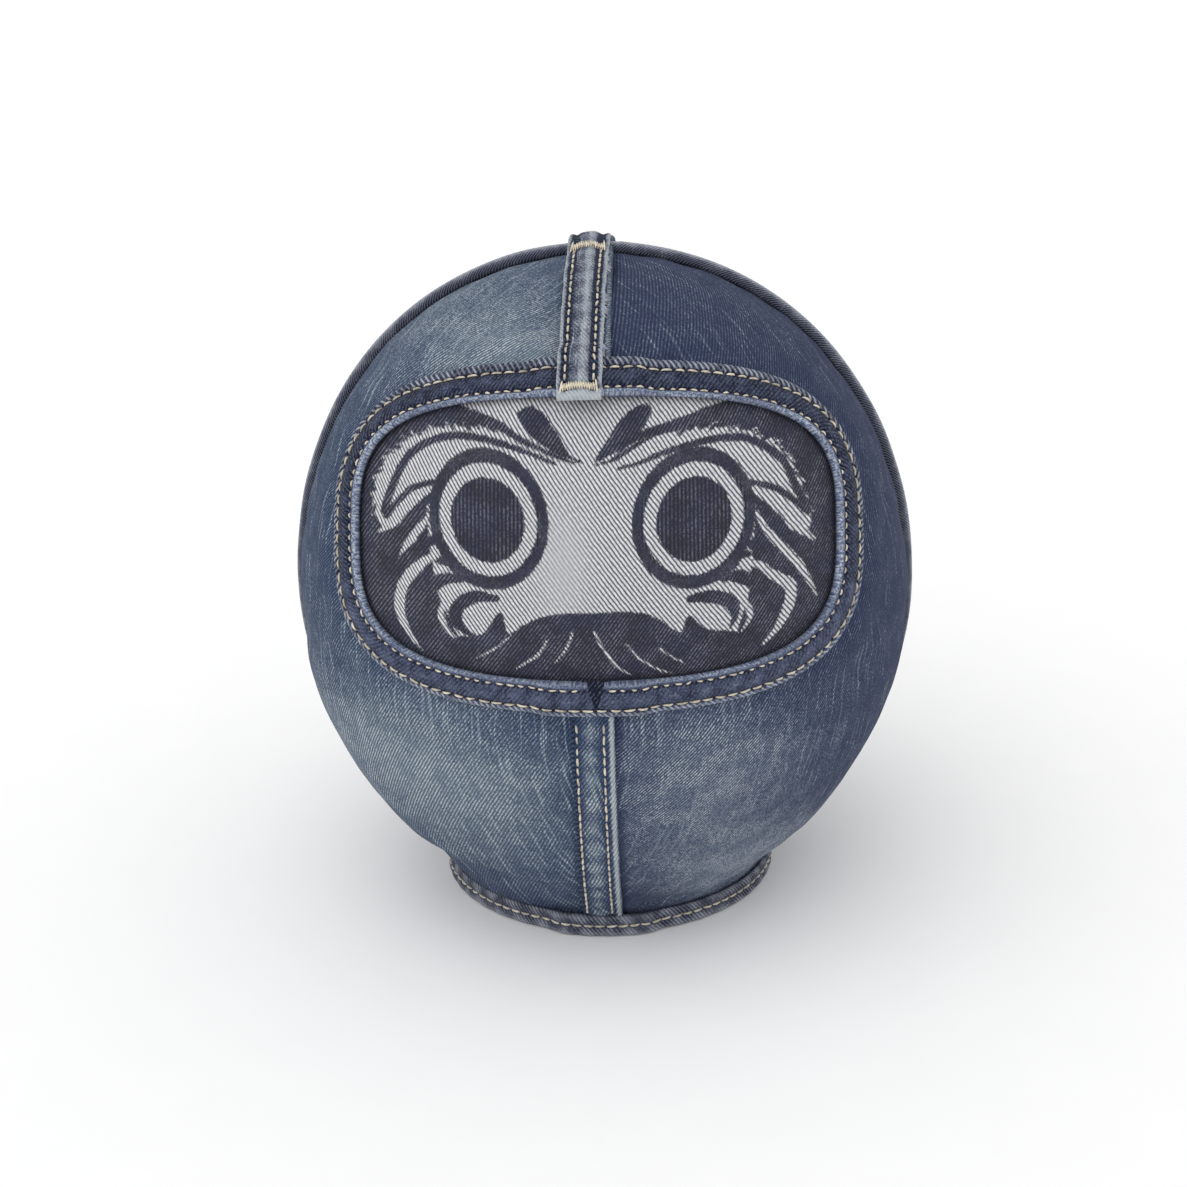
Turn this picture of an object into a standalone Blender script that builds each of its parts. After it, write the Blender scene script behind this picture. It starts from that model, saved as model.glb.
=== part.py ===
"""A daruma doll sewn from denim: a stuffed round body on a flat bound base.

Axes: +Z is up, the face looks along -Y, and the origin is on the floor under the middle of the doll.
The body's outer surface is called the skin. Every piece is placed by its height above the skin.
"""

import math

import bmesh
import bpy
import numpy as np
from mathutils import Vector

MM = 0.001

# Body
HALF_WIDTH = 80.0 * MM
DEPTH_RATIO = 0.94
BODY_TOP = 174.0 * MM
WIDEST_Z = 82.0 * MM
CROWN_POWER = 2.07
NECK_Z = 6.0 * MM
NECK_HALF_WIDTH = 43.5 * MM

# Cloth and thread
DENIM = 1.0 * MM
GAP = 0.3 * MM
THREAD_RADIUS = 0.25 * MM
NEEDLE_GAUGE = 6.4 * MM

# Side seam, which holds the piping, in the plane y = 0
SIDE_SEAM_HALF_GAP = 1.9 * MM
BEAD_RADIUS = 1.5 * MM
BEAD_HEIGHT = 1.2 * MM
BEAD_HOLLOW_RADIUS = 1.0 * MM
CORD_RADIUS = 0.62 * MM
PIPING_FLANGE = 0.5 * MM
PIPING_END_Z = 7.0 * MM

# Felled centre seams: the left panel laps over the right one
LAP_START_X = -5.6 * MM
LAP_END_X = 4.2 * MM
LAP_SLOPE = 0.6 * MM
LAP_LIFT = 1.5 * MM
UNDERLAP_X = -5.0 * MM
SEAM_ROW_X = -4.8 * MM
PANEL_BOTTOM_Z = 1.6 * MM

# Window round the face
WINDOW_Z = 119.6 * MM
WINDOW_HALF_WIDTH = 59.0 * MM
WINDOW_HALF_HEIGHT = 32.1 * MM
WINDOW_POWER_TOP = 2.4
WINDOW_POWER_BOTTOM = 4.5
BAND_WIDTH = 9.4 * MM
BAND_LEG = 1.6 * MM
BAND_LEG_DEPTH = 0.9 * MM
BAND_THICKNESS = 1.4 * MM
BAND_EDGE_THICKNESS = 0.6 * MM
BAND_FALL = 0.4 * MM
BAND_INNER_ROW = 1.7 * MM
BAND_END_GAP = 0.5 * MM
BAND_NOTCH = 1.5 * MM
FACE_DEPTH = 1.7 * MM
FACE_THICKNESS = 0.8 * MM
FACE_MARGIN = 6.0 * MM
CROSSING_REACH = 16.0 * MM
CROSSING_SLOPE = 6.0 * MM

# Belt loop
LOOP_HALF_WIDTH = 5.4 * MM
LOOP_FRONT_X = -3.0 * MM
LOOP_BACK_X = -1.5 * MM
LOOP_FRONT_Z = 150.6 * MM
LOOP_TAIL = 5.5 * MM
LOOP_EDGE = 1.4 * MM
LOOP_RIDGE = 1.8 * MM
LOOP_ROW_X = 3.2 * MM
LOOP_RIDGE_HALF_WIDTH = 1.2 * MM
BARTACK_HALF_LENGTH = 0.9 * MM
BARTACK_THICKNESS = 0.7 * MM
BARTACK_CROWN_RUN = 5.0 * MM
BARTACK_END_DISTANCE = 3.6 * MM

# Base
HEM_WALL = 1.35 * MM
HEM_HEIGHT = 6.0 * MM
HEM_INNER_HEIGHT = 4.8 * MM
HEM_FLOOR = 1.3 * MM
HEM_CLEARANCE = 0.35 * MM
HEM_INNER_OFFSET = -1.6 * MM
HEM_INNER_WALL = 1.1 * MM
HEM_ROW_Z = 3.4 * MM
BASE_HALF_WIDTH = 40.3 * MM
BOARD_THICKNESS = 2.0 * MM

# Filling and weight
FILLING_DEPTH = 1.6 * MM
FILLING_DEPTH_FACE = 3.4 * MM
FILLING_FACE_LOW_Z = 45.0 * MM
FILLING_FACE_BACK_Y = -10.0 * MM
FILLING_TOP_RUN = 1.5 * MM
POCKET_RADIUS = 26.0 * MM
POCKET_HEIGHT = 25.0 * MM
BAG_CLOTH = 0.7 * MM
TIE_RADIUS = 0.7 * MM

# Facets
OUTLINE_STEPS = 400
LIP_STEPS = 1440
PANEL_ROWS = 16
PANEL_COLUMNS = 9
BAND_STATIONS = 64
HEM_STATIONS = 60
PIPING_STATIONS = 36
FACE_SPOKES = 40
FACE_SHARES = (0.04, 0.2, 0.4, 0.6, 0.8, 1.0)
LOOP_STATIONS = 25
BARTACK_STATIONS = 7
LOOP_ROW_STATIONS = 12
BAG_SEGMENTS = 24
FILLING_ROWS = 12
FILLING_COLUMNS = 24
ROW_PITCH = 6.0 * MM

FRONT = -1
BACK = 1
LEFT = -1
RIGHT = 1


# ---------------------------------------------------------------- the skin

def half_width(z):
    """Half the body's width at level z."""
    if z >= WIDEST_Z:
        rise = min(1.0, (z - WIDEST_Z) / (BODY_TOP - WIDEST_Z))
        return HALF_WIDTH * (1.0 - rise ** CROWN_POWER) ** (1.0 / CROWN_POWER)
    drop = min(1.0, (WIDEST_Z - z) / (WIDEST_Z - NECK_Z))
    return NECK_HALF_WIDTH + (HALF_WIDTH - NECK_HALF_WIDTH) * (1.0 - drop ** 2)


def level_at(radius):
    """Level z on the upper body at which the half width is radius."""
    share = 1.0 - (radius / HALF_WIDTH) ** CROWN_POWER
    return WIDEST_Z + (BODY_TOP - WIDEST_Z) * share ** (1.0 / CROWN_POWER)


def outline_normal(z):
    """Direction away from the body's outline at level z, as (sideways, up)."""
    if z >= WIDEST_Z:
        rise = BODY_TOP - WIDEST_Z
        sideways = (half_width(z) / HALF_WIDTH) ** (CROWN_POWER - 1.0) / HALF_WIDTH
        up = (min(1.0, (z - WIDEST_Z) / rise)) ** (CROWN_POWER - 1.0) / rise
    elif z > NECK_Z + 0.001 * MM:
        drop = (WIDEST_Z - z) / (WIDEST_Z - NECK_Z)
        sideways = 1.0
        up = -2.0 * (HALF_WIDTH - NECK_HALF_WIDTH) * drop / (WIDEST_Z - NECK_Z)
    else:
        sideways, up = 1.0, 0.0
    length = math.hypot(sideways, up)
    return sideways / length, up / length


def skin(angle, z, height=0.0):
    """Point at an angle round from the front towards +X, at level z, this height above the skin."""
    radius = half_width(z)
    foot = Vector((radius * math.sin(angle), -DEPTH_RATIO * radius * math.cos(angle), z))
    return foot + skin_normal(angle, z) * height


def skin_normal(angle, z):
    sideways, up = outline_normal(z)
    normal = Vector((sideways * math.sin(angle), -sideways * math.cos(angle) / DEPTH_RATIO, up))
    return normal.normalized()


def angle_of(point):
    return math.atan2(point.x, -point.y / DEPTH_RATIO)


def on_skin(point, height=0.0):
    """The skin beside a point that is close to it, raised by height."""
    return skin(angle_of(point), point.z, height)


def centre_line():
    """The body's middle line from the crown to the floor, as (distance run, depth, level)."""
    crown = np.sin(np.linspace(0.5 * math.pi, 0.0, OUTLINE_STEPS)) ** (2.0 / CROWN_POWER)
    upper = WIDEST_Z + (BODY_TOP - WIDEST_Z) * crown
    lower = np.linspace(WIDEST_Z, 0.0, OUTLINE_STEPS)[1:]
    levels = np.concatenate([upper, lower])
    depths = np.array([DEPTH_RATIO * half_width(z) for z in levels])
    steps = np.hypot(np.diff(depths), np.diff(levels))
    return np.concatenate([[0.0], np.cumsum(steps)]), depths, levels


RUN, DEPTHS, LEVELS = centre_line()


def run_to_level(z):
    return float(np.interp(-z, -LEVELS, RUN))


def run_to_depth(depth):
    crown = slice(0, OUTLINE_STEPS)
    return float(np.interp(depth, DEPTHS[crown], RUN[crown]))


def beside_centre(run, x, height, facing=FRONT):
    """Point x away from the middle plane, this far down the front or back from the crown.

    A negative run has crossed the crown to the other side.
    """
    side = facing if run >= 0.0 else -facing
    depth = float(np.interp(abs(run), RUN, DEPTHS))
    level = float(np.interp(abs(run), RUN, LEVELS))
    sideways, up = outline_normal(level)
    inward, outward = -2.0 * MM, 0.0
    for _ in range(24):
        middle = 0.5 * (inward + outward)
        y = depth + middle * sideways
        z = level + middle * up
        radius = half_width(z)
        if x * x + (y / DEPTH_RATIO) ** 2 > radius * radius:
            outward = middle
        else:
            inward = middle
    foot = Vector((x, side * (depth + inward * sideways), level + inward * up))
    return on_skin(foot, height)


# ---------------------------------------------------------------- the window

def lip_outline():
    """Points along the window's lip from its bottom middle round to the right, evenly spaced."""
    points = []
    for turn in np.linspace(-0.5 * math.pi, 1.5 * math.pi, LIP_STEPS + 1):
        power = WINDOW_POWER_TOP if math.sin(turn) >= 0.0 else WINDOW_POWER_BOTTOM
        x = math.copysign(abs(math.cos(turn)) ** (2.0 / power), math.cos(turn)) * WINDOW_HALF_WIDTH
        rise = math.copysign(abs(math.sin(turn)) ** (2.0 / power), math.sin(turn))
        z = WINDOW_Z + rise * WINDOW_HALF_HEIGHT
        points.append(skin(math.asin(x / half_width(z)), z))
    points = np.array(points)
    runs = np.concatenate([[0.0], np.cumsum(np.linalg.norm(np.diff(points, axis=0), axis=1))])
    return runs / runs[-1], points, float(runs[-1])


LIP_SHARES, LIP_POINTS, LIP_LENGTH = lip_outline()


def lip_at(turn):
    """Point on the lip; turn 0 and 1 are its bottom middle."""
    share = turn % 1.0
    return Vector([float(np.interp(share, LIP_SHARES, LIP_POINTS[:, axis])) for axis in range(3)])


def window_point(turn, away, height=0.0):
    """Point at a distance away from the lip, measured along the skin, and a height above it."""
    point = lip_at(turn)
    along = lip_at(turn + 0.004) - lip_at(turn - 0.004)
    steps = max(1, math.ceil(abs(away) / (2.0 * MM)))
    for _ in range(steps):
        outward = along.cross(skin_normal(angle_of(point), point.z)).normalized()
        point = on_skin(point + outward * (away / steps))
    return on_skin(point, height)


def seam_crossing(x):
    """1 above a centre seam and 0 away from it: the share of the lap that a piece climbs over."""
    middle = 0.5 * (LAP_START_X + LAP_END_X)
    share = (CROSSING_REACH - abs(x - middle)) / CROSSING_SLOPE
    share = min(1.0, max(0.0, share))
    return share * share * (3.0 - 2.0 * share)


# ---------------------------------------------------------------- mesh helpers

def clear_scene():
    for leftover in list(bpy.data.objects):
        bpy.data.objects.remove(leftover)


def cloth(name, colour, roughness=0.9):
    material = bpy.data.materials.new(name)
    material.use_nodes = True
    shader = material.node_tree.nodes["Principled BSDF"]
    shader.inputs["Base Color"].default_value = (*colour, 1.0)
    shader.inputs["Roughness"].default_value = roughness
    shader.inputs["Metallic"].default_value = 0.0
    material.diffuse_color = (*colour, 1.0)
    return material


def add_piece(name, data, material, parent):
    data.materials.append(material)
    piece = bpy.data.objects.new(name, data)
    piece.parent = parent
    bpy.context.collection.objects.link(piece)
    return piece


def closed_mesh(name, points, faces):
    """Mesh from points and faces, with doubled points merged and the faces turned outwards."""
    mesh = bpy.data.meshes.new(name)
    shape = bmesh.new()
    corners = [shape.verts.new(point) for point in points]
    for face in faces:
        shape.faces.new([corners[index] for index in face])
    bmesh.ops.remove_doubles(shape, verts=shape.verts, dist=0.002 * MM)
    bmesh.ops.recalc_face_normals(shape, faces=shape.faces)
    shape.to_mesh(mesh)
    shape.free()
    mesh.shade_smooth()
    mesh.set_sharp_from_angle(angle=math.radians(40))
    return mesh


def loft(name, loops, ring=False):
    """Solid through equal closed loops: a ring, or a bar with its two ends filled."""
    count = len(loops[0])
    points = [point for loop in loops for point in loop]
    faces = []
    spans = len(loops) if ring else len(loops) - 1
    for span in range(spans):
        here = span * count
        there = (span + 1) % len(loops) * count
        for side in range(count):
            following = (side + 1) % count
            faces.append((here + side, here + following, there + following, there + side))
    if not ring:
        faces.append(tuple(range(count)))
        faces.append(tuple(range(len(points) - count, len(points))))
    return closed_mesh(name, points, faces)


def sheet(name, outer, inner):
    """Solid between two equal grids of points, closed along its four edges."""
    rows, columns = len(outer), len(outer[0])
    points = [point for row in outer for point in row] + [point for row in inner for point in row]
    below = rows * columns

    def at(row, column):
        return row * columns + column

    faces = []
    for row in range(rows - 1):
        for column in range(columns - 1):
            quad = (at(row, column), at(row, column + 1), at(row + 1, column + 1), at(row + 1, column))
            faces.append(quad)
            faces.append(tuple(index + below for index in quad))
    border = [at(0, column) for column in range(columns)]
    border += [at(row, columns - 1) for row in range(1, rows)]
    border += [at(rows - 1, column) for column in range(columns - 2, -1, -1)]
    border += [at(row, 0) for row in range(rows - 2, 0, -1)]
    for here, there in zip(border, border[1:] + border[:1]):
        faces.append((here, there, there + below, here + below))
    return closed_mesh(name, points, faces)


def turned(name, profile):
    """Solid of revolution about Z from a closed profile of (radius, z) points."""
    loops = []
    for step in range(BAG_SEGMENTS):
        angle = 2.0 * math.pi * step / BAG_SEGMENTS
        loops.append([Vector((radius * math.sin(angle), -radius * math.cos(angle), z))
                      for radius, z in profile])
    return loft(name, loops, ring=True)


def thread(name, points, closed=False):
    """Row of stitches as one continuous thread through the points."""
    curve = bpy.data.curves.new(name, "CURVE")
    curve.dimensions = "3D"
    curve.bevel_depth = THREAD_RADIUS
    curve.bevel_resolution = 0
    curve.use_fill_caps = True
    spline = curve.splines.new("POLY")
    spline.points.add(len(points) - 1)
    for knot, point in zip(spline.points, points):
        knot.co = (*point, 1.0)
    spline.use_cyclic_u = closed
    return curve


def above(surface_height):
    """Height of a thread's middle where it lies on a surface."""
    return surface_height + GAP + THREAD_RADIUS


# ---------------------------------------------------------------- body panels

def panel_runs():
    """Distances from the crown of a panel's rows: even to the neck, then the edge inside the hem."""
    first = run_to_depth(SIDE_SEAM_HALF_GAP)
    neck = run_to_level(NECK_Z)
    return list(np.linspace(first, neck, PANEL_ROWS)) + [run_to_level(PANEL_BOTTOM_Z)]


def panel_row(z, edge, side, facing):
    """Points at level z from the side seam towards the middle, up to edge on the panel's own side."""
    radius = half_width(z)
    start = math.asin(min(1.0, SIDE_SEAM_HALF_GAP / (DEPTH_RATIO * radius)))
    end = min(math.acos(max(-1.0, min(1.0, edge / radius))), math.pi - start)
    end = max(end, start)
    row = []
    for step in range(PANEL_COLUMNS + 1):
        turn = start + (end - start) * step / PANEL_COLUMNS
        x = side * radius * math.cos(turn)
        y = facing * DEPTH_RATIO * radius * math.sin(turn)
        row.append(Vector((x, y, z)))
    return row


def lapping_panel(name, facing):
    """Left panel: its middle edge is a raised strip that covers the right panel's edge."""
    strip = [(LAP_START_X, LAP_LIFT), (0.5 * (LAP_START_X + LAP_END_X), LAP_LIFT), (LAP_END_X, LAP_LIFT)]
    outer, inner = [], []
    for number, run in enumerate(panel_runs()):
        corner = beside_centre(run, LAP_START_X - LAP_SLOPE, 0.0, facing)
        main = panel_row(corner.z, -corner.x, LEFT, facing)
        if number == 0:
            main = [corner] * len(main)
        outer.append([on_skin(point) for point in main])
        inner.append([on_skin(point, -DENIM) for point in main])
        outer[-1] += [beside_centre(run, x, lift, facing) for x, lift in strip]
        inner[-1] += [beside_centre(run, x, lift - DENIM, facing) for x, lift in strip]
    return sheet(name, outer, inner)


def underlapping_panel(name, facing):
    """Right panel: plain, running under the left panel's strip."""
    first = level_at(SIDE_SEAM_HALF_GAP / DEPTH_RATIO + 0.001 * MM)
    levels = [first] + [beside_centre(run, LAP_END_X, 0.0, facing).z for run in panel_runs()]
    outer, inner = [], []
    for z in levels:
        row = panel_row(z, UNDERLAP_X, RIGHT, facing)
        outer.append([on_skin(point) for point in row])
        inner.append([on_skin(point, -DENIM) for point in row])
    return sheet(name, outer, inner)


def window_cutter(parent):
    """Block as wide as the opening in the cloth, with its wall square to the skin."""
    near, far = -100.0 * MM, -20.0 * MM
    reach = 4.0 * MM
    turns = [step / BAND_STATIONS for step in range(BAND_STATIONS)]
    above_skin = [window_point(turn, BAND_LEG + GAP, reach) for turn in turns]
    under_skin = [window_point(turn, BAND_LEG + GAP, -reach) for turn in turns]
    front_end = [Vector((point.x, near, point.z)) for point in above_skin]
    inner_end = [Vector((point.x, far, point.z)) for point in under_skin]
    block = loft("window_cutter", [front_end, above_skin, under_skin, inner_end])
    cutter = bpy.data.objects.new("window_cutter", block)
    cutter.parent = parent
    cutter.hide_render = True
    cutter.display_type = "WIRE"
    bpy.context.collection.objects.link(cutter)
    return cutter


def cut_window(panel, cutter):
    cut = panel.modifiers.new("window", "BOOLEAN")
    cut.operation = "DIFFERENCE"
    cut.solver = "EXACT"
    cut.object = cutter


def build_panels(parent):
    mid_blue = cloth("denim_mid_blue", (0.105, 0.165, 0.265))
    dark_blue = cloth("denim_dark_blue", (0.055, 0.085, 0.155))
    faded_blue = cloth("denim_faded_blue", (0.125, 0.195, 0.280))
    front_left = add_piece(
        "front_panel_left", lapping_panel("front_panel_left", FRONT), faded_blue, parent)
    front_right = add_piece(
        "front_panel_right", underlapping_panel("front_panel_right", FRONT), dark_blue, parent)
    add_piece("back_panel_left", lapping_panel("back_panel_left", BACK), mid_blue.copy(), parent)
    add_piece("back_panel_right", underlapping_panel("back_panel_right", BACK), mid_blue, parent)
    cutter = window_cutter(parent)
    cut_window(front_left, cutter)
    cut_window(front_right, cutter)


# ---------------------------------------------------------------- face and window band

def face_ring(share, height):
    """Ring of points round the window's middle, at a share of the way out to the cloth's hidden edge."""
    ring = []
    for spoke in range(FACE_SPOKES):
        edge = window_point(spoke / FACE_SPOKES, FACE_MARGIN)
        x = edge.x * share
        z = WINDOW_Z + (edge.z - WINDOW_Z) * share
        ring.append(skin(math.asin(x / half_width(z)), z, height))
    return ring


def face_mesh():
    """Cloth behind the window, a little larger than the opening."""
    outer = [face_ring(share, -FACE_DEPTH) for share in FACE_SHARES]
    inner = [face_ring(share, -FACE_DEPTH - FACE_THICKNESS) for share in FACE_SHARES]
    return loft("face_panel", outer + inner[::-1])


def band_section():
    """Section of the band as (distance from the lip, height): a leg at the lip and a flat strip."""
    top = GAP + BAND_THICKNESS
    return [
        (0.0, -BAND_LEG_DEPTH),
        (0.0, BAND_LEG_DEPTH),
        (1.1 * MM, top),
        (BAND_WIDTH - 0.7 * MM, top - BAND_FALL),
        (BAND_WIDTH, GAP + BAND_EDGE_THICKNESS),
        (BAND_WIDTH, GAP),
        (BAND_LEG, GAP),
        (BAND_LEG, -BAND_LEG_DEPTH),
    ]


def band_height(away):
    """Height of the band's upper face at a distance from the lip."""
    section = band_section()
    distances = [section[2][0], section[3][0]]
    heights = [section[2][1], section[3][1]]
    return float(np.interp(away, distances, heights))


def band_turn(share, away):
    """Turn round the lip, leaving a notch at the bottom middle that is widest at the lip."""
    notch = BAND_END_GAP + BAND_NOTCH * (1.0 - away / BAND_WIDTH)
    trim = notch / LIP_LENGTH
    return trim + share * (1.0 - 2.0 * trim)


def band_point(turn, away, height):
    """Point on the band, which climbs over the lapped centre seam."""
    lift = LAP_LIFT * seam_crossing(window_point(turn, away).x)
    return window_point(turn, away, height + lift)


def band_mesh():
    loops = []
    for station in range(BAND_STATIONS + 1):
        share = station / BAND_STATIONS
        loop = []
        for away, height in band_section():
            turn = band_turn(share, away)
            if height < 0.0:
                loop.append(window_point(turn, away, height))
            else:
                loop.append(band_point(turn, away, height))
        loops.append(loop)
    return loft("window_band", loops)


def band_row(name, away, closed):
    """Stitch row along the band, right round or stopping short of the notch."""
    height = above(band_height(away))
    first = 0 if closed else 1
    turns = [band_turn(station / BAND_STATIONS, away) for station in range(first, BAND_STATIONS)]
    return thread(name, [band_point(turn, away, height) for turn in turns], closed)


def build_window(parent):
    reverse = cloth("denim_reverse", (0.42, 0.44, 0.47))
    indigo = cloth("denim_band", (0.065, 0.095, 0.165))
    cream = cloth("thread_cream", (0.68, 0.60, 0.45), 0.7)
    add_piece("face_panel", face_mesh(), reverse, parent)
    add_piece("window_band", band_mesh(), indigo, parent)
    inner = BAND_INNER_ROW
    outer = BAND_INNER_ROW + NEEDLE_GAUGE
    add_piece("window_stitch_inner", band_row("window_stitch_inner", inner, False), cream, parent)
    add_piece("window_stitch_outer", band_row("window_stitch_outer", outer, True), cream.copy(), parent)


# ---------------------------------------------------------------- seams and piping

def seam_row(name, x, start_run, end_run, facing):
    """Stitch row down the lapped strip of a centre seam."""
    count = math.ceil((end_run - start_run) / ROW_PITCH) + 1
    runs = np.linspace(start_run, end_run, count)
    return thread(name, [beside_centre(run, x, above(LAP_LIFT), facing) for run in runs])


def build_seam_rows(parent):
    cream = cloth("thread_seam", (0.66, 0.60, 0.48), 0.7)
    below_band = run_to_level(window_point(0.0, BAND_WIDTH).z) + 1.5 * MM
    above_hem = run_to_level(9.5 * MM)
    below_loop = LOOP_TAIL + 4.0 * MM
    rows = {"left": SEAM_ROW_X, "right": SEAM_ROW_X + NEEDLE_GAUGE}
    for side, x in rows.items():
        front = seam_row(f"front_seam_stitch_{side}", x, below_band, above_hem, FRONT)
        back = seam_row(f"back_seam_stitch_{side}", x, below_loop, above_hem, BACK)
        add_piece(f"front_seam_stitch_{side}", front, cream.copy(), parent)
        add_piece(f"back_seam_stitch_{side}", back, cream.copy(), parent)


def side_line():
    """Places round the side seam from base to base across the crown, as (side, level)."""
    turns = np.linspace(0.0, 0.5 * math.pi, PIPING_STATIONS // 3)
    upper = [WIDEST_Z + (BODY_TOP - WIDEST_Z) * math.sin(turn) ** (2.0 / CROWN_POWER) for turn in turns]
    lower = list(np.linspace(PIPING_END_Z, WIDEST_Z, PIPING_STATIONS // 6 + 1))[:-1]
    levels = lower + upper
    left = [(LEFT, z) for z in levels]
    right = [(RIGHT, z) for z in levels[:-1]]
    return left + right[::-1]


def side_point(side, z, y, height):
    """Point of the piping: y across the seam, height above the skin."""
    point = skin(side * 0.5 * math.pi, z, height)
    return Vector((point.x, y, point.z))


def piping_cover_mesh():
    """Bead with a lengthwise hollow for the cord and a flange between the panels' edges."""
    sides = 8
    bead, hollow = [], []
    for corner in range(sides):
        angle = math.radians(-67.5) + 2.0 * math.pi * corner / sides
        bead.append((BEAD_RADIUS * math.cos(angle), BEAD_HEIGHT + BEAD_RADIUS * math.sin(angle)))
        hollow.append(
            (BEAD_HOLLOW_RADIUS * math.cos(angle), BEAD_HEIGHT + BEAD_HOLLOW_RADIUS * math.sin(angle)))
    bead[0] = (PIPING_FLANGE, -DENIM)
    bead[-1] = (-PIPING_FLANGE, -DENIM)
    stations = side_line()
    points = []
    for side, z in stations:
        points += [side_point(side, z, y, height) for y, height in bead]
        points += [side_point(side, z, y, height) for y, height in hollow]
    faces = []
    step = 2 * sides
    for station in range(len(stations) - 1):
        here, there = station * step, (station + 1) * step
        for wall in (0, sides):
            for corner in range(sides):
                following = (corner + 1) % sides
                faces.append((here + wall + corner, here + wall + following,
                              there + wall + following, there + wall + corner))
    for end in (0, (len(stations) - 1) * step):
        for corner in range(sides):
            following = (corner + 1) % sides
            faces.append((end + corner, end + following, end + sides + following, end + sides + corner))
    return closed_mesh("piping_cover", points, faces)


def piping_cord_mesh():
    sides = 6
    loops = []
    for side, z in side_line():
        loop = []
        for corner in range(sides):
            angle = 2.0 * math.pi * corner / sides
            height = BEAD_HEIGHT + CORD_RADIUS * math.sin(angle)
            loop.append(side_point(side, z, CORD_RADIUS * math.cos(angle), height))
        loops.append(loop)
    return loft("piping_cord", loops)


def build_piping(parent):
    add_piece("piping_cover", piping_cover_mesh(), cloth("denim_piping", (0.040, 0.060, 0.110)), parent)
    add_piece("piping_cord", piping_cord_mesh(), cloth("cotton_cord", (0.62, 0.60, 0.55)), parent)


# ---------------------------------------------------------------- belt loop

def loop_run_front():
    return run_to_level(LOOP_FRONT_Z)


def loop_middle(run):
    """X of the loop's middle: it leans slightly on its way back over the crown."""
    share = (loop_run_front() - run) / (loop_run_front() + LOOP_TAIL)
    return LOOP_FRONT_X + (LOOP_BACK_X - LOOP_FRONT_X) * share


def loop_base_height(run):
    """Height of the loop's underside: over the band, along the seam, over the piping, and down."""
    band_top = run_to_level(window_point(0.5, BAND_WIDTH).z)
    over_band = above(above(LAP_LIFT + GAP + BAND_THICKNESS))
    over_seam = LAP_LIFT + 2.0 * GAP
    over_piping = BEAD_HEIGHT + BEAD_RADIUS + 2.0 * GAP
    runs = [-LOOP_TAIL, -3.0 * MM, 3.0 * MM, 8.0 * MM, band_top - 4.0 * MM, band_top - 1.0 * MM]
    heights = [over_seam, over_piping, over_piping, over_seam, over_seam, over_band]
    return float(np.interp(run, runs, heights))


def loop_point(run, x, height):
    """Point on the loop: x from its middle, height above its underside."""
    return beside_centre(run, loop_middle(run) + x, loop_base_height(run) + height)


def loop_section():
    """Section of the loop: two channels for the stitch rows beside a middle ridge."""
    half = [(LOOP_HALF_WIDTH, 0.0), (LOOP_HALF_WIDTH, LOOP_EDGE), (LOOP_ROW_X, LOOP_EDGE - 0.1 * MM),
            (LOOP_RIDGE_HALF_WIDTH, LOOP_RIDGE)]
    return half + [(-x, height) for x, height in half[::-1]]


def belt_loop_mesh():
    runs = np.linspace(-LOOP_TAIL, loop_run_front(), LOOP_STATIONS)
    return loft("belt_loop", [[loop_point(run, x, height) for x, height in loop_section()] for run in runs])


def bartack_mesh(name, run):
    """Bar of dense stitches across the loop, domed over the middle ridge."""
    length = BARTACK_HALF_LENGTH
    low = LOOP_RIDGE + GAP
    high = low + BARTACK_THICKNESS
    section = [(-length, low), (length, low), (length, high - 0.2 * MM), (0.4 * length, high),
               (-0.4 * length, high), (-length, high - 0.2 * MM)]
    reach = LOOP_HALF_WIDTH - 0.4 * MM
    return loft(name, [[loop_point(run + along, x, height) for along, height in section]
                       for x in np.linspace(-reach, reach, BARTACK_STATIONS)])


def build_belt_loop(parent):
    pale = cloth("denim_pale", (0.24, 0.31, 0.39))
    cream = cloth("thread_loop", (0.70, 0.64, 0.52), 0.7)
    window_run = loop_run_front() - BARTACK_END_DISTANCE
    clear = BARTACK_HALF_LENGTH + 4.0 * GAP
    add_piece("belt_loop", belt_loop_mesh(), pale, parent)
    add_piece("bartack_crown", bartack_mesh("bartack_crown", BARTACK_CROWN_RUN), cream, parent)
    add_piece("bartack_window", bartack_mesh("bartack_window", window_run), cream.copy(), parent)
    runs = np.linspace(BARTACK_CROWN_RUN + clear, window_run - clear, LOOP_ROW_STATIONS)
    for side, x in (("left", -LOOP_ROW_X), ("right", LOOP_ROW_X)):
        name = f"loop_stitch_{side}"
        row = thread(name, [loop_point(run, x, above(LOOP_EDGE)) for run in runs])
        add_piece(name, row, cream.copy(), parent)


# ---------------------------------------------------------------- base

def neck_point(angle, offset, z):
    """Point beside the upright neck of the body, offset outwards from it."""
    foot = skin(angle, NECK_Z, offset)
    return Vector((foot.x, foot.y, z))


def hem_lift(angle):
    """Extra width of the hem where it covers a lapped centre seam."""
    return LAP_LIFT * seam_crossing(skin(angle, NECK_Z).x)


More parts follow.
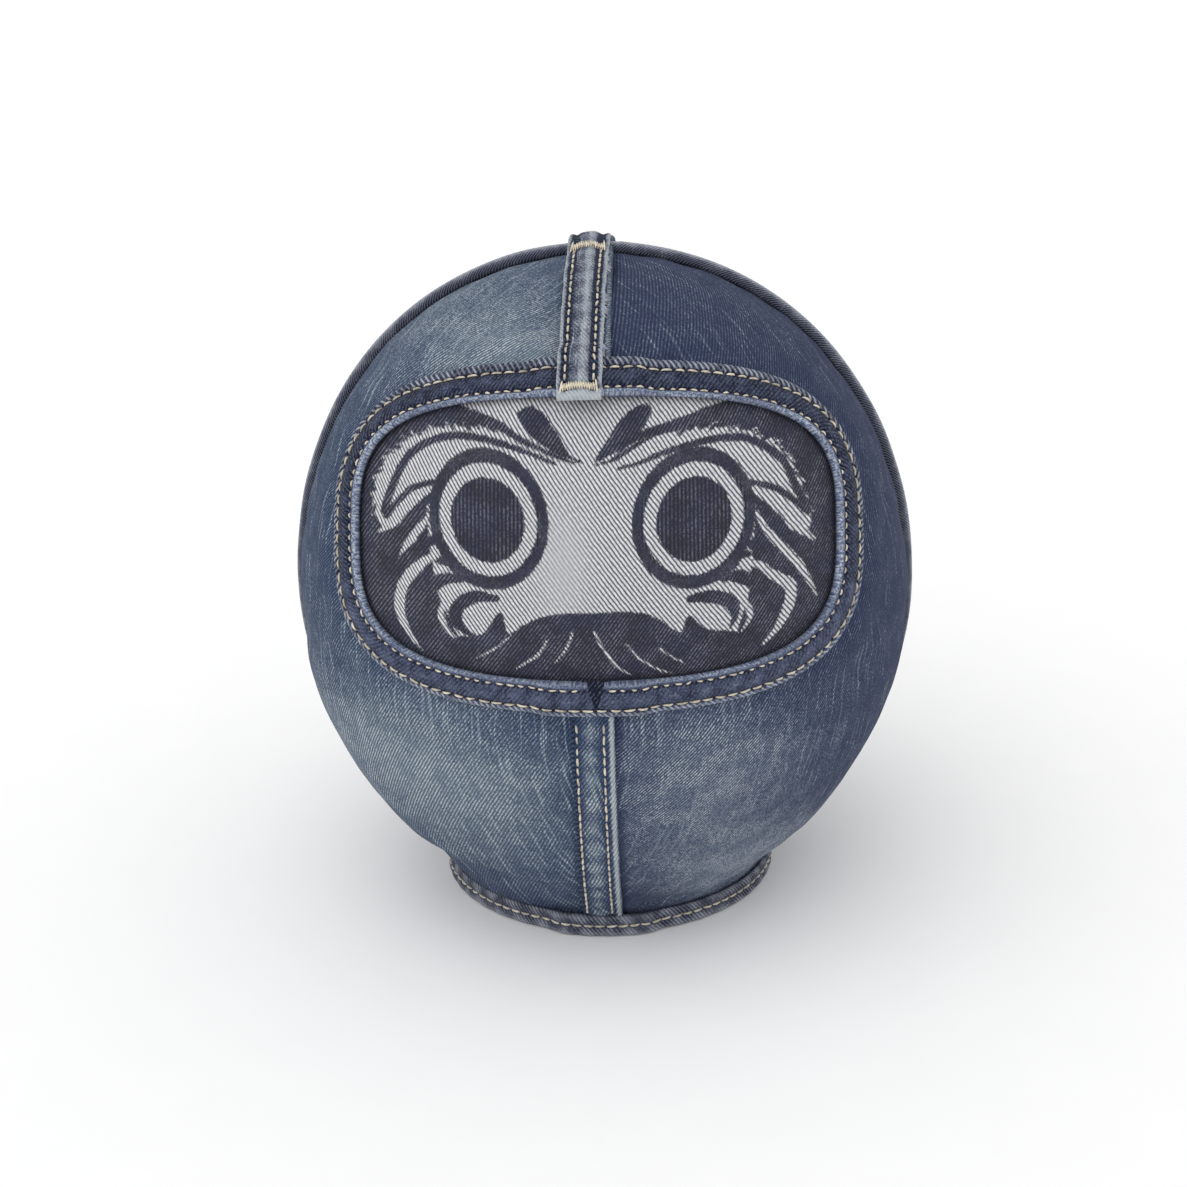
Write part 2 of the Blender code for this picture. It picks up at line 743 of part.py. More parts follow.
def hem_mesh():
    """Folded binding of U section round the panels' lower edges; its underside stands on the floor."""
    outside = HEM_CLEARANCE + HEM_WALL
    inside = HEM_INNER_OFFSET - HEM_INNER_WALL
    outer_wall = [(outside, 0.0), (outside, HEM_HEIGHT), (HEM_CLEARANCE, HEM_HEIGHT - DENIM),
                  (HEM_CLEARANCE, HEM_FLOOR)]
    inner_wall = [(HEM_INNER_OFFSET, HEM_FLOOR), (HEM_INNER_OFFSET, HEM_INNER_HEIGHT),
                  (inside, HEM_INNER_HEIGHT), (inside, 0.0)]
    loops = []
    for station in range(HEM_STATIONS):
        angle = 2.0 * math.pi * station / HEM_STATIONS
        loop = [neck_point(angle, offset + hem_lift(angle), z) for offset, z in outer_wall]
        loop += [neck_point(angle, offset, z) for offset, z in inner_wall]
        loops.append(loop)
    return loft("base_hem", loops, ring=True)


def ring_row(name, offset, z, follow_seams):
    """Stitch row right round the base."""
    points = []
    for step in range(HEM_STATIONS):
        angle = 2.0 * math.pi * step / HEM_STATIONS
        lift = hem_lift(angle) if follow_seams else 0.0
        points.append(neck_point(angle, offset + lift, z))
    return thread(name, points, closed=True)


def disc_mesh(name, half, low, high):
    """Flat disc of the base's shape."""
    angles = [2.0 * math.pi * step / HEM_STATIONS for step in range(HEM_STATIONS)]
    loops = []
    for z in (low, high):
        loops.append([Vector((half * math.sin(angle), -DEPTH_RATIO * half * math.cos(angle), z))
                      for angle in angles])
    return loft(name, loops)


def build_base(parent):
    indigo = cloth("denim_hem", (0.050, 0.070, 0.125))
    cream = cloth("thread_base", (0.62, 0.56, 0.44), 0.7)
    add_piece("base_hem", hem_mesh(), indigo, parent)
    hem_face = HEM_CLEARANCE + HEM_WALL
    add_piece("hem_stitch", ring_row("hem_stitch", above(hem_face), HEM_ROW_Z, True), cream, parent)
    panel_low = HEM_FLOOR + GAP
    panel_high = panel_low + DENIM
    board_low = panel_high + GAP
    add_piece("base_panel", disc_mesh("base_panel", BASE_HALF_WIDTH, panel_low, panel_high),
              indigo.copy(), parent)
    add_piece("base_board", disc_mesh("base_board", BASE_HALF_WIDTH, board_low, board_low + BOARD_THICKNESS),
              cloth("grey_board", (0.40, 0.37, 0.32)), parent)
    inset = BASE_HALF_WIDTH - NECK_HALF_WIDTH - 1.5 * MM
    row_z = panel_low - GAP - THREAD_RADIUS
    add_piece("base_stitch", ring_row("base_stitch", inset, row_z, False), cream.copy(), parent)


# ---------------------------------------------------------------- filling and weight

def floor_inside():
    """Level of the board's upper face plus a gap, on which the filling and the weight bag lie."""
    return HEM_FLOOR + GAP + DENIM + GAP + BOARD_THICKNESS + GAP


def filling_point(angle, z):
    """Point on the filling's outside, which lies further in behind the face."""
    behind_face = z > FILLING_FACE_LOW_Z and skin(angle, z).y < FILLING_FACE_BACK_Y
    return skin(angle, z, -FILLING_DEPTH_FACE if behind_face else -FILLING_DEPTH)


def filling_mesh():
    """Stuffing that fills the body, with a pocket underneath for the weight bag."""
    angles = [2.0 * math.pi * column / FILLING_COLUMNS for column in range(FILLING_COLUMNS)]
    runs = np.linspace(FILLING_TOP_RUN, run_to_level(NECK_Z), FILLING_ROWS)
    levels = [float(np.interp(run, RUN, LEVELS)) for run in runs]
    loops = [[filling_point(angle, z) for angle in angles] for z in levels]
    floor = floor_inside()
    loops.append([neck_point(angle, -FILLING_DEPTH, floor) for angle in angles])
    for z in (floor, floor + POCKET_HEIGHT):
        loops.append([Vector((POCKET_RADIUS * math.sin(angle), -POCKET_RADIUS * math.cos(angle), z))
                      for angle in angles])
    return loft("fibre_filling", loops)


def pouch_wall():
    """Outer wall of the tied pouch from its bottom middle up to the flared mouth, as (radius, z)."""
    low = floor_inside() + GAP
    return [(0.0, low), (19.0 * MM, low), (24.0 * MM, low + 4.0 * MM), (24.5 * MM, low + 8.0 * MM),
            (20.0 * MM, low + 13.5 * MM), (10.0 * MM, low + 16.5 * MM), (4.2 * MM, low + 18.0 * MM),
            (3.8 * MM, low + 19.5 * MM), (5.0 * MM, low + 21.5 * MM), (7.5 * MM, low + 23.5 * MM)]


def bag_mesh():
    outer = pouch_wall()
    inner = [(max(0.0, radius - BAG_CLOTH), z + BAG_CLOTH if number < 2 else z)
             for number, (radius, z) in enumerate(outer)]
    return turned("weight_bag", outer + inner[::-1])


def pellet_mesh():
    """Heap of pellets in the pouch, as one lump with a settled top."""
    low = pouch_wall()[0][1] + BAG_CLOTH + GAP
    profile = [(0.0, low), (17.5 * MM, low), (22.3 * MM, low + 3.2 * MM), (22.8 * MM, low + 6.6 * MM),
               (17.0 * MM, low + 8.6 * MM), (8.0 * MM, low + 9.8 * MM), (0.0, low + 10.2 * MM)]
    return turned("weight_pellets", profile)


def tie_mesh():
    """Cord knotted round the pouch's neck."""
    neck_radius, neck_z = pouch_wall()[7]
    sides = 6
    middle = neck_radius + GAP + TIE_RADIUS
    profile = []
    for corner in range(sides):
        angle = 2.0 * math.pi * corner / sides
        profile.append((middle + TIE_RADIUS * math.cos(angle), neck_z + TIE_RADIUS * math.sin(angle)))
    return turned("bag_tie", profile)


def build_filling(parent):
    add_piece("fibre_filling", filling_mesh(), cloth("polyester_fibre", (0.80, 0.80, 0.78)), parent)
    add_piece("weight_bag", bag_mesh(), cloth("cotton_muslin", (0.66, 0.61, 0.50)), parent)
    add_piece("weight_pellets", pellet_mesh(), cloth("pellets", (0.55, 0.55, 0.54), 0.5), parent)
    add_piece("bag_tie", tie_mesh(), cloth("cotton_tie", (0.70, 0.66, 0.58)), parent)


def main():
    clear_scene()
    doll = bpy.data.objects.new("daruma_doll", None)
    bpy.context.collection.objects.link(doll)
    build_panels(doll)
    build_window(doll)
    build_seam_rows(doll)
    build_piping(doll)
    build_belt_loop(doll)
    build_base(doll)
    build_filling(doll)


main()
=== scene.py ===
"""Looks of the denim daruma doll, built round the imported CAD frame.

Axes: +Z is up, the face looks along -Y, and the origin is on the floor under the middle of the doll.
Lengths are in metres unless a name ends in _MM; cloth coordinates stored on meshes are in millimetres.
The body's outer surface is called the skin, and every piece is placed by its height above it.
"""

import contextlib
import itertools
import math

import bmesh
import bpy
import numpy as np
from mathutils import Matrix, Vector


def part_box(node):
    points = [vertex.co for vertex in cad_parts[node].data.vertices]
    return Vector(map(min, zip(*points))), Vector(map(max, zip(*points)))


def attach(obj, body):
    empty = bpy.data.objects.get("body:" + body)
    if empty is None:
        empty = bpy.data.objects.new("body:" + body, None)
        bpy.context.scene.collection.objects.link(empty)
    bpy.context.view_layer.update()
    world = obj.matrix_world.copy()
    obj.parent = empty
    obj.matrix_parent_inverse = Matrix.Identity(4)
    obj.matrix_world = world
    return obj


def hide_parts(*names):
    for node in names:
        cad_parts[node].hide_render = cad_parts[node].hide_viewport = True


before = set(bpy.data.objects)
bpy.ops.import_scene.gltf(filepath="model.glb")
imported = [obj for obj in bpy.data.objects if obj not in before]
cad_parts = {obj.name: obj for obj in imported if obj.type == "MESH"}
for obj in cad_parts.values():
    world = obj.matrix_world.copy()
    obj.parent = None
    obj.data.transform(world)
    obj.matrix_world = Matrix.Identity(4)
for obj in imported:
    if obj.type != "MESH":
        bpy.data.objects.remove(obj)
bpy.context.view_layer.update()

MM = 0.001
BODY = "root"
FRONT, BACK = -1, 1
LEFT, RIGHT = -1, 1


def frame_size(value, step=0.1 * MM):
    """A length read from the frame, to the nearest step."""
    return round(value / step) * step


# Body, from the panel that has no raised strip
PANEL_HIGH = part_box("back_panel_right")[1]
HALF_WIDTH = frame_size(PANEL_HIGH.x, 0.5 * MM)
BODY_TOP = frame_size(PANEL_HIGH.z, 0.5 * MM)
DEPTH_RATIO = frame_size(PANEL_HIGH.y / HALF_WIDTH, 0.01)
HEM_TOP_Z = frame_size(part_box("base_hem")[1].z)
HEM_HALF_WIDTH = frame_size(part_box("base_hem")[1].x)
HEM_OFFSET = 1.7 * MM
NECK_Z = HEM_TOP_Z
NECK_HALF_WIDTH = HEM_HALF_WIDTH - HEM_OFFSET
WIDEST_Z = 82.0 * MM
CROWN_POWER = 2.07

# Cloth and thread
DENIM = 1.0 * MM
GAP = 0.3 * MM
THREAD_RADIUS = 0.29 * MM
NEEDLE_GAUGE = 6.4 * MM
SEAM_STITCH = 2.75 * MM
SEAM_STITCH_GAP = 0.35 * MM

# Side seam and piping
PANEL_EDGE_Y = 1.15 * MM
SEAM_ROLL = 1.6 * MM
SEAM_ROLL_DEPTH = 0.5 * MM
BEAD_RADIUS = 1.26 * MM
BEAD_HEIGHT = 1.05 * MM
PIPING_END_Z = 7.0 * MM

# Felled centre seams
LAP_START_X = -5.6 * MM
LAP_END_X = 4.5 * MM
LAP_LIFT = 1.5 * MM
UNDERLAP_X = -5.0 * MM
SEAM_ROWS_X = {"left": -4.8 * MM, "right": -4.8 * MM + NEEDLE_GAUGE}
STRIP_MIDDLE_X = 0.5 * sum(SEAM_ROWS_X.values())
PANEL_BOTTOM_Z = 1.6 * MM

# Window and its band
WINDOW_Z = 119.9 * MM
WINDOW_HALF_WIDTH = 58.8 * MM
WINDOW_HALF_HEIGHT = 31.5 * MM
WINDOW_POWER_TOP = 2.4
WINDOW_POWER_BOTTOM = 4.5
BAND_WIDTH = 9.4 * MM
BAND_TOP = 1.75 * MM
BAND_NOTCH = 1.9 * MM
BAND_END_GAP = 0.15 * MM
CLOTH_HOLE = 3.0 * MM
FACE_DEPTH = 1.7 * MM
FACE_BULGE = 1.0 * MM
FACE_MARGIN = 5.0 * MM
CROSSING_REACH = 16.0 * MM
CROSSING_SLOPE = 6.0 * MM

# Belt loop
LOOP_FRONT_X = -3.0 * MM
LOOP_BACK_X = -1.5 * MM
LOOP_FRONT_Z = 149.4 * MM
LOOP_TAIL = 5.5 * MM
LOOP_ROW_X = 3.2 * MM
LOOP_STITCH = 2.1 * MM
LOOP_STITCH_GAP = 0.55 * MM
BARTACK_CROWN_RUN = 7.0 * MM
BARTACK_END_DISTANCE = 2.9 * MM
BARTACK_HALF_LENGTH = {"bartack_crown": 2.5 * MM, "bartack_window": 1.3 * MM}
BARTACK_STITCHES = 30
FRAY_THREADS = 260

# Cloth simulation
SHEET_PITCH = 4.0 * MM
SHEET_FRAMES = 20
SWELL_CAP = 1.1 * MM
SEAM_STIFF_WIDTH = 7.0 * MM
SHEET_CLOTH = {"vertex_group_mass": "held", "quality": 6, "mass": 0.02, "tension_stiffness": 6.0,
               "compression_stiffness": 6.0, "bending_stiffness": 0.05, "use_pressure": True,
               "uniform_pressure_force": 4.0, "shrink_min": -0.02}

# Mesh spacing
OUTLINE_STEPS = 2400
LIP_STEPS = 1440
LIP_STEP = 0.004
PANEL_PITCH = 1.0 * MM
STRIP_PITCH = 0.4 * MM
FACE_PITCH = 0.36 * MM


# ---------------------------------------------------------------- the skin

def unit(vectors):
    return vectors / np.maximum(np.linalg.norm(vectors, axis=-1, keepdims=True), 1e-12)


def distances(path):
    """Distance run along a path at each of its points."""
    steps = np.linalg.norm(np.diff(path, axis=0), axis=1)
    return np.concatenate([[0.0], np.cumsum(steps)])


def places_at(run, runs, path):
    """Points at these distances along a path, given the distance of each of its own points."""
    return np.stack([np.interp(run, runs, path[:, axis]) for axis in range(path.shape[1])], -1)


def circle(count):
    """Angles evenly round a full turn."""
    return np.linspace(0.0, 2.0 * math.pi, count, endpoint=False)


def smooth_step(share):
    share = np.clip(share, 0.0, 1.0)
    return share * share * (3.0 - 2.0 * share)


def bump_at(position, middle, reach):
    """1 at the middle, falling smoothly to 0 a few times reach away from it."""
    return np.exp(-((position - middle) / reach) ** 2)


def half_width(z):
    """Half the body's width at level z."""
    rise = np.clip((z - WIDEST_Z) / (BODY_TOP - WIDEST_Z), 0.0, 1.0)
    upper = HALF_WIDTH * (1.0 - rise ** CROWN_POWER) ** (1.0 / CROWN_POWER)
    drop = np.clip((WIDEST_Z - z) / (WIDEST_Z - NECK_Z), 0.0, 1.0)
    lower = NECK_HALF_WIDTH + (HALF_WIDTH - NECK_HALF_WIDTH) * (1.0 - drop ** 2)
    return np.where(z >= WIDEST_Z, upper, lower)


def skin_normal(angle, z):
    """Direction straight out of the skin."""
    rise = BODY_TOP - WIDEST_Z
    share = np.clip((z - WIDEST_Z) / rise, 0.0, 1.0)
    drop = np.clip((WIDEST_Z - z) / (WIDEST_Z - NECK_Z), 0.0, 1.0)
    high_side = (half_width(z) / HALF_WIDTH) ** (CROWN_POWER - 1.0) / HALF_WIDTH
    high_up = share ** (CROWN_POWER - 1.0) / rise
    low_up = -2.0 * (HALF_WIDTH - NECK_HALF_WIDTH) * drop / (WIDEST_Z - NECK_Z)
    low_up = np.where(z > NECK_Z, low_up, 0.0)
    sideways = np.where(z >= WIDEST_Z, high_side, 1.0)
    up = np.where(z >= WIDEST_Z, high_up, low_up)
    return unit(np.stack([sideways * np.sin(angle), -sideways * np.cos(angle) / DEPTH_RATIO, up], -1))


def skin(angle, z, height=0.0):
    """Point at an angle round from the front towards +X, at level z, this height above the skin."""
    angle, z, height = np.broadcast_arrays(angle, z, height)
    radius = half_width(z)
    foot = np.stack([radius * np.sin(angle), -DEPTH_RATIO * radius * np.cos(angle), z], -1)
    return foot + skin_normal(angle, z) * height[..., None]


def angle_of(points):
    return np.arctan2(points[..., 0], -points[..., 1] / DEPTH_RATIO)


def normal_of(points):
    return skin_normal(angle_of(points), points[..., 2])


def on_skin(points, height=0.0):
    """The skin beside points that are close to it, raised by height."""
    return skin(angle_of(points), points[..., 2], height)


def centre_line():
    """The body's middle line from the crown to the floor, as (distance run, depth, level)."""
    crown = np.sin(np.linspace(0.5 * math.pi, 0.0, OUTLINE_STEPS)) ** (2.0 / CROWN_POWER)
    upper = WIDEST_Z + (BODY_TOP - WIDEST_Z) * crown
    lower = np.linspace(WIDEST_Z, 0.0, OUTLINE_STEPS)[1:]
    levels = np.concatenate([upper, lower])
    depths = DEPTH_RATIO * half_width(levels)
    return distances(np.stack([depths, levels], -1)), depths, levels


RUN, DEPTHS, LEVELS = centre_line()


def run_to_level(z):
    return np.interp(-z, -LEVELS, RUN)


def run_to_depth(depth):
    return float(np.interp(depth, DEPTHS[:OUTLINE_STEPS], RUN[:OUTLINE_STEPS]))


def beside_centre(run, x, height, facing=FRONT):
    """Point x away from the middle plane, this far down the front or back from the crown.

    A negative run has crossed the crown to the other side.
    """
    run, x, height = np.broadcast_arrays(run, x, height)
    side = np.where(run >= 0.0, facing, -facing)
    depth = np.interp(np.abs(run), RUN, DEPTHS)
    level = np.interp(np.abs(run), RUN, LEVELS)
    normal = skin_normal(np.zeros_like(level), level)
    sideways, up = -normal[..., 1], normal[..., 2]
    inward = np.full(run.shape, -2.0 * MM)
    outward = np.zeros(run.shape)
    for _ in range(24):
        middle = 0.5 * (inward + outward)
        y = depth + middle * sideways
        radius = half_width(level + middle * up)
        outside = x * x + (y / DEPTH_RATIO) ** 2 > radius * radius
        outward = np.where(outside, middle, outward)
        inward = np.where(outside, inward, middle)
    foot = np.stack([x, side * (depth + inward * sideways), level + inward * up], -1)
    return on_skin(foot, height)


# ---------------------------------------------------------------- the window

def lip_outline():
    """The window's lip from its bottom middle round to the right: shares of its length, points and length."""
    turn = np.linspace(-0.5 * math.pi, 1.5 * math.pi, LIP_STEPS + 1)
    power = np.where(np.sin(turn) >= 0.0, WINDOW_POWER_TOP, WINDOW_POWER_BOTTOM)
    x = np.sign(np.cos(turn)) * np.abs(np.cos(turn)) ** (2.0 / power) * WINDOW_HALF_WIDTH
    rise = np.sign(np.sin(turn)) * np.abs(np.sin(turn)) ** (2.0 / power)
    z = WINDOW_Z + rise * WINDOW_HALF_HEIGHT
    points = skin(np.arcsin(x / half_width(z)), z)
    runs = distances(points)
    return runs / runs[-1], points, float(runs[-1])


LIP_SHARES, LIP_POINTS, LIP_LENGTH = lip_outline()


def lip_at(turn):
    """Point on the lip; turn 0 and 1 are its bottom middle."""
    return places_at(np.mod(turn, 1.0), LIP_SHARES, LIP_POINTS)


def lip_direction(turn):
    return lip_at(turn + LIP_STEP) - lip_at(turn - LIP_STEP)


def window_point(turn, away, height=0.0):
    """Point at a distance away from the lip, measured along the skin, and a height above it."""
    turn, away, height = np.broadcast_arrays(turn, away, height)
    point = lip_at(turn)
    along = lip_direction(turn)
    steps = max(1, math.ceil(float(np.abs(away).max()) / (2.0 * MM)))
    for _ in range(steps):
        outward = unit(np.cross(along, normal_of(point)))
        point = on_skin(point + outward * (away / steps)[..., None])
    return on_skin(point, height)


def window_ring(away, count=361):
    """Outline as (x, z) points, at a distance away from the lip."""
    return window_point(np.linspace(0.0, 1.0, count)[:-1], away)[:, [0, 2]]


def seam_crossing(x):
    """1 above a centre seam and 0 away from it: the share of the lap that a piece climbs over."""
    middle = 0.5 * (LAP_START_X + LAP_END_X)
    return smooth_step((CROSSING_REACH - np.abs(x - middle)) / CROSSING_SLOPE)


# ---------------------------------------------------------------- waves and noise in the shapes

def wave_noise(coordinates, size, seed, octaves):
    """Smooth random field between about -1 and 1, whose features are about size apart."""
    random = np.random.default_rng(seed)
    total = np.zeros(coordinates.shape[:-1])
    weight = 0.0
    for octave in range(octaves):
        for _ in range(6):
            direction = unit(random.normal(size=coordinates.shape[-1]))
            wave = 2.0 * math.pi * 2 ** octave / size * random.uniform(0.7, 1.4)
            phase = random.uniform(0.0, 2.0 * math.pi)
            total += 0.5 ** octave * np.sin(coordinates @ direction * wave + phase)
        weight += 0.5 ** octave * 6 ** 0.5
    return total / weight


# ---------------------------------------------------------------- meshes

def grid_faces(rows, columns, closed=False):
    """Corner numbers of the quads between a grid's points; closed joins the last column to the first."""
    index = np.arange(rows * columns).reshape(rows, columns)
    if closed:
        index = np.concatenate([index, index[:, :1]], axis=1)
    return np.stack([index[:-1, :-1], index[:-1, 1:], index[1:, 1:], index[1:, :-1]], -1)


def new_mesh(name, points, faces):
    mesh = bpy.data.meshes.new(name)
    mesh.from_pydata(points.reshape(-1, 3).tolist(), [], faces)
    return mesh


def store(mesh, key, values):
    """Keeps a value at each of the mesh's points, for its material."""
    attribute = mesh.attributes.new(key, "FLOAT", "POINT")
    attribute.data.foreach_set("value", values.astype(np.float32).ravel())


@contextlib.contextmanager
def open_mesh(mesh):
    """Opens a mesh for editing, and turns its faces outwards when it is closed again."""
    shape = bmesh.new()
    shape.from_mesh(mesh)
    yield shape
    bmesh.ops.recalc_face_normals(shape, faces=shape.faces)
    shape.to_mesh(mesh)
    shape.free()
    mesh.shade_smooth()


def grid_mesh(name, points, values, closed=False, keep=None):
    """Mesh of quads over a grid of points, without doubled or loose points. keep is a mask of its faces."""
    size = points.shape[:2]
    faces = grid_faces(*size, closed)
    if keep is not None:
        faces = faces[keep]
    mesh = new_mesh(name, points, faces.reshape(-1, 4).tolist())
    for key, value in values.items():
        store(mesh, key, np.broadcast_to(value, size))
    with open_mesh(mesh) as shape:
        bmesh.ops.remove_doubles(shape, verts=shape.verts, dist=0.002 * MM)
        loose = [corner for corner in shape.verts if not corner.link_faces]
        bmesh.ops.delete(shape, geom=loose, context="VERTS")
    return mesh


def tube_mesh(name, points, values):
    """Solid through rings of points, with its two ends filled."""
    mesh = grid_mesh(name, points, values, closed=True)
    with open_mesh(mesh) as shape:
        bmesh.ops.holes_fill(shape, edges=[edge for edge in shape.edges if edge.is_boundary])
    return mesh


def face_outwards(mesh):
    """Turns an open sheet so that its faces look away from the middle of the doll."""
    middle = Vector((0.0, 0.0, WIDEST_Z))
    total = sum(face.normal.dot(face.center - middle) * face.area for face in mesh.polygons)
    if total < 0.0:
        mesh.flip_normals()


def dress(mesh, material, slot, *nodes):
    """Object for a mesh, named like it and shown in place of these CAD nodes."""
    mesh.materials.append(material)
    piece = bpy.data.objects.new(mesh.name, mesh)
    bpy.context.scene.collection.objects.link(piece)
    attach(piece, BODY)
    if nodes:
        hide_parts(*nodes)
    return piece


def thicken(piece, thickness):
    """Gives a sheet its cloth thickness, inwards."""
    solid = piece.modifiers.new("thickness", "SOLIDIFY")
    solid.thickness = thickness
    solid.offset = -1.0


def swept(name, path, ups, section, values):
    """Solid along a path. section is (sideways, up) pairs, which may change from point to point."""
    ahead = unit(np.gradient(path, axis=0))
    sides = unit(np.cross(ahead, ups))
    rises = unit(np.cross(sides, ahead))
    points = path[:, None] + sides[:, None] * section[..., :1] + rises[:, None] * section[..., 1:]
    return tube_mesh(name, points, values)


def round_section(turn, reach):
    """Section at these angles from straight up, at a distance from the path."""
    return np.stack([reach * np.sin(turn), reach * np.cos(turn)], -1)


def resample(path, ups, spacing):
    """The path and its up directions at even distances, about spacing apart."""
    runs = distances(path)
    even = np.linspace(0.0, runs[-1], max(2, round(runs[-1] / spacing) + 1))
    return places_at(even, runs, path), unit(places_at(even, runs, ups)), even


# ---------------------------------------------------------------- stitches

STITCH_STATIONS = 9
STITCH_SIDES = 10
PLY_TURN = 1.1 * MM


def sew(node, path, seed, ups=None, length=SEAM_STITCH, gap=SEAM_STITCH_GAP, radius=THREAD_RADIUS):
    """Row of separate stitches along a path, each a twisted thread that dives into the cloth at its ends."""
    if ups is None:
        ups = normal_of(path)
    random = np.random.default_rng(seed)
    runs = distances(path)
    count = max(1, round(runs[-1] / (length + gap)))
    pitch = runs[-1] / count
    share = np.linspace(0.0, 1.0, STITCH_STATIONS)
    start = np.arange(count)[:, None] * pitch + random.normal(0.0, 0.06, (count, 1)) * gap
    at = np.clip(start + share * (pitch - gap * random.uniform(0.6, 1.4, (count, 1))), 0.0, runs[-1])
    middle, up = places_at(at, runs, path), unit(places_at(at, runs, ups))
    side = unit(np.cross(unit(np.gradient(middle, axis=1)), up))
    arch = np.sin(math.pi * share) ** 0.6
    lean = random.normal(0.0, 0.10, (count, 1, 1)) * MM * (share - 0.5)[:, None] * 2.0
    middle = middle + up * ((arch - 0.75) * radius * 1.3)[:, None] + side * lean
    taper = radius * (0.45 + 0.55 * arch) * random.uniform(0.92, 1.08, (count, 1))
    ply = 1.0 + 0.13 * np.cos(3.0 * (circle(STITCH_SIDES) - 2.0 * math.pi * at[..., None] / PLY_TURN))
    rings = rings_round(middle, side, up, taper[..., None] * ply)
    mesh = capsule_mesh(f"{node}_thread", rings, random.uniform(0.0, 1.0, count))
    dress(mesh, THREAD, "thread_cream", node)


def rings_round(middle, side, up, reach):
    """Rings of points round every station of several paths."""
    turn = circle(STITCH_SIDES)
    sideways = side[:, :, None] * (reach * np.cos(turn))[..., None]
    return middle[:, :, None] + sideways + up[:, :, None] * (reach * np.sin(turn))[..., None]


def thin_threads(name, paths, radius, shade):
    """Mesh of threads that lie on the skin, tapered at both ends."""
    paths = np.array(paths)
    ahead = unit(np.gradient(paths, axis=1))
    side = unit(np.cross(ahead, normal_of(paths)))
    rise = unit(np.cross(side, ahead))
    share = np.linspace(0.0, 1.0, paths.shape[1])[:, None]
    reach = radius * (0.4 + 0.6 * np.sin(math.pi * share) ** 0.4)
    return capsule_mesh(name, rings_round(paths, side, rise, reach), shade)


def capsule_mesh(name, rings, shade):
    """Separate closed tubes from an array of rings: (tube, station, side, axis). shade is each tube's own."""
    tubes, stations, sides = rings.shape[:3]
    index = np.arange(tubes * stations * sides).reshape(tubes, stations, sides)
    following = np.roll(index, -1, axis=2)
    walls = np.stack([index[:, :-1], following[:, :-1], following[:, 1:], index[:, 1:]], -1)
    ends = index[:, 0, ::-1].tolist() + index[:, -1].tolist()
    mesh = new_mesh(name, rings, walls.reshape(-1, 4).tolist() + ends)
    store(mesh, "shade", np.repeat(shade, stations * sides))
    mesh.shade_smooth()
    return mesh


# ---------------------------------------------------------------- material graphs

# Numbers of the colour sockets of a Mix node
MIX_FIRST, MIX_SECOND, MIX_RESULT = 6, 7, 2


class Value:
    """A number or colour in a material's nodes. Arithmetic on it adds the nodes that work it out."""

    def __init__(self, graph, socket):
        self.graph = graph
        self.socket = socket

    def __add__(self, other):
        return self.graph.math("ADD", self, other)

    def __sub__(self, other):
        return self.graph.math("SUBTRACT", self, other)

    def __rsub__(self, other):
        return self.graph.math("SUBTRACT", other, self)

    def __mul__(self, other):
        return self.graph.math("MULTIPLY", self, other)

    def __truediv__(self, other):
        return self.graph.math("DIVIDE", self, other)


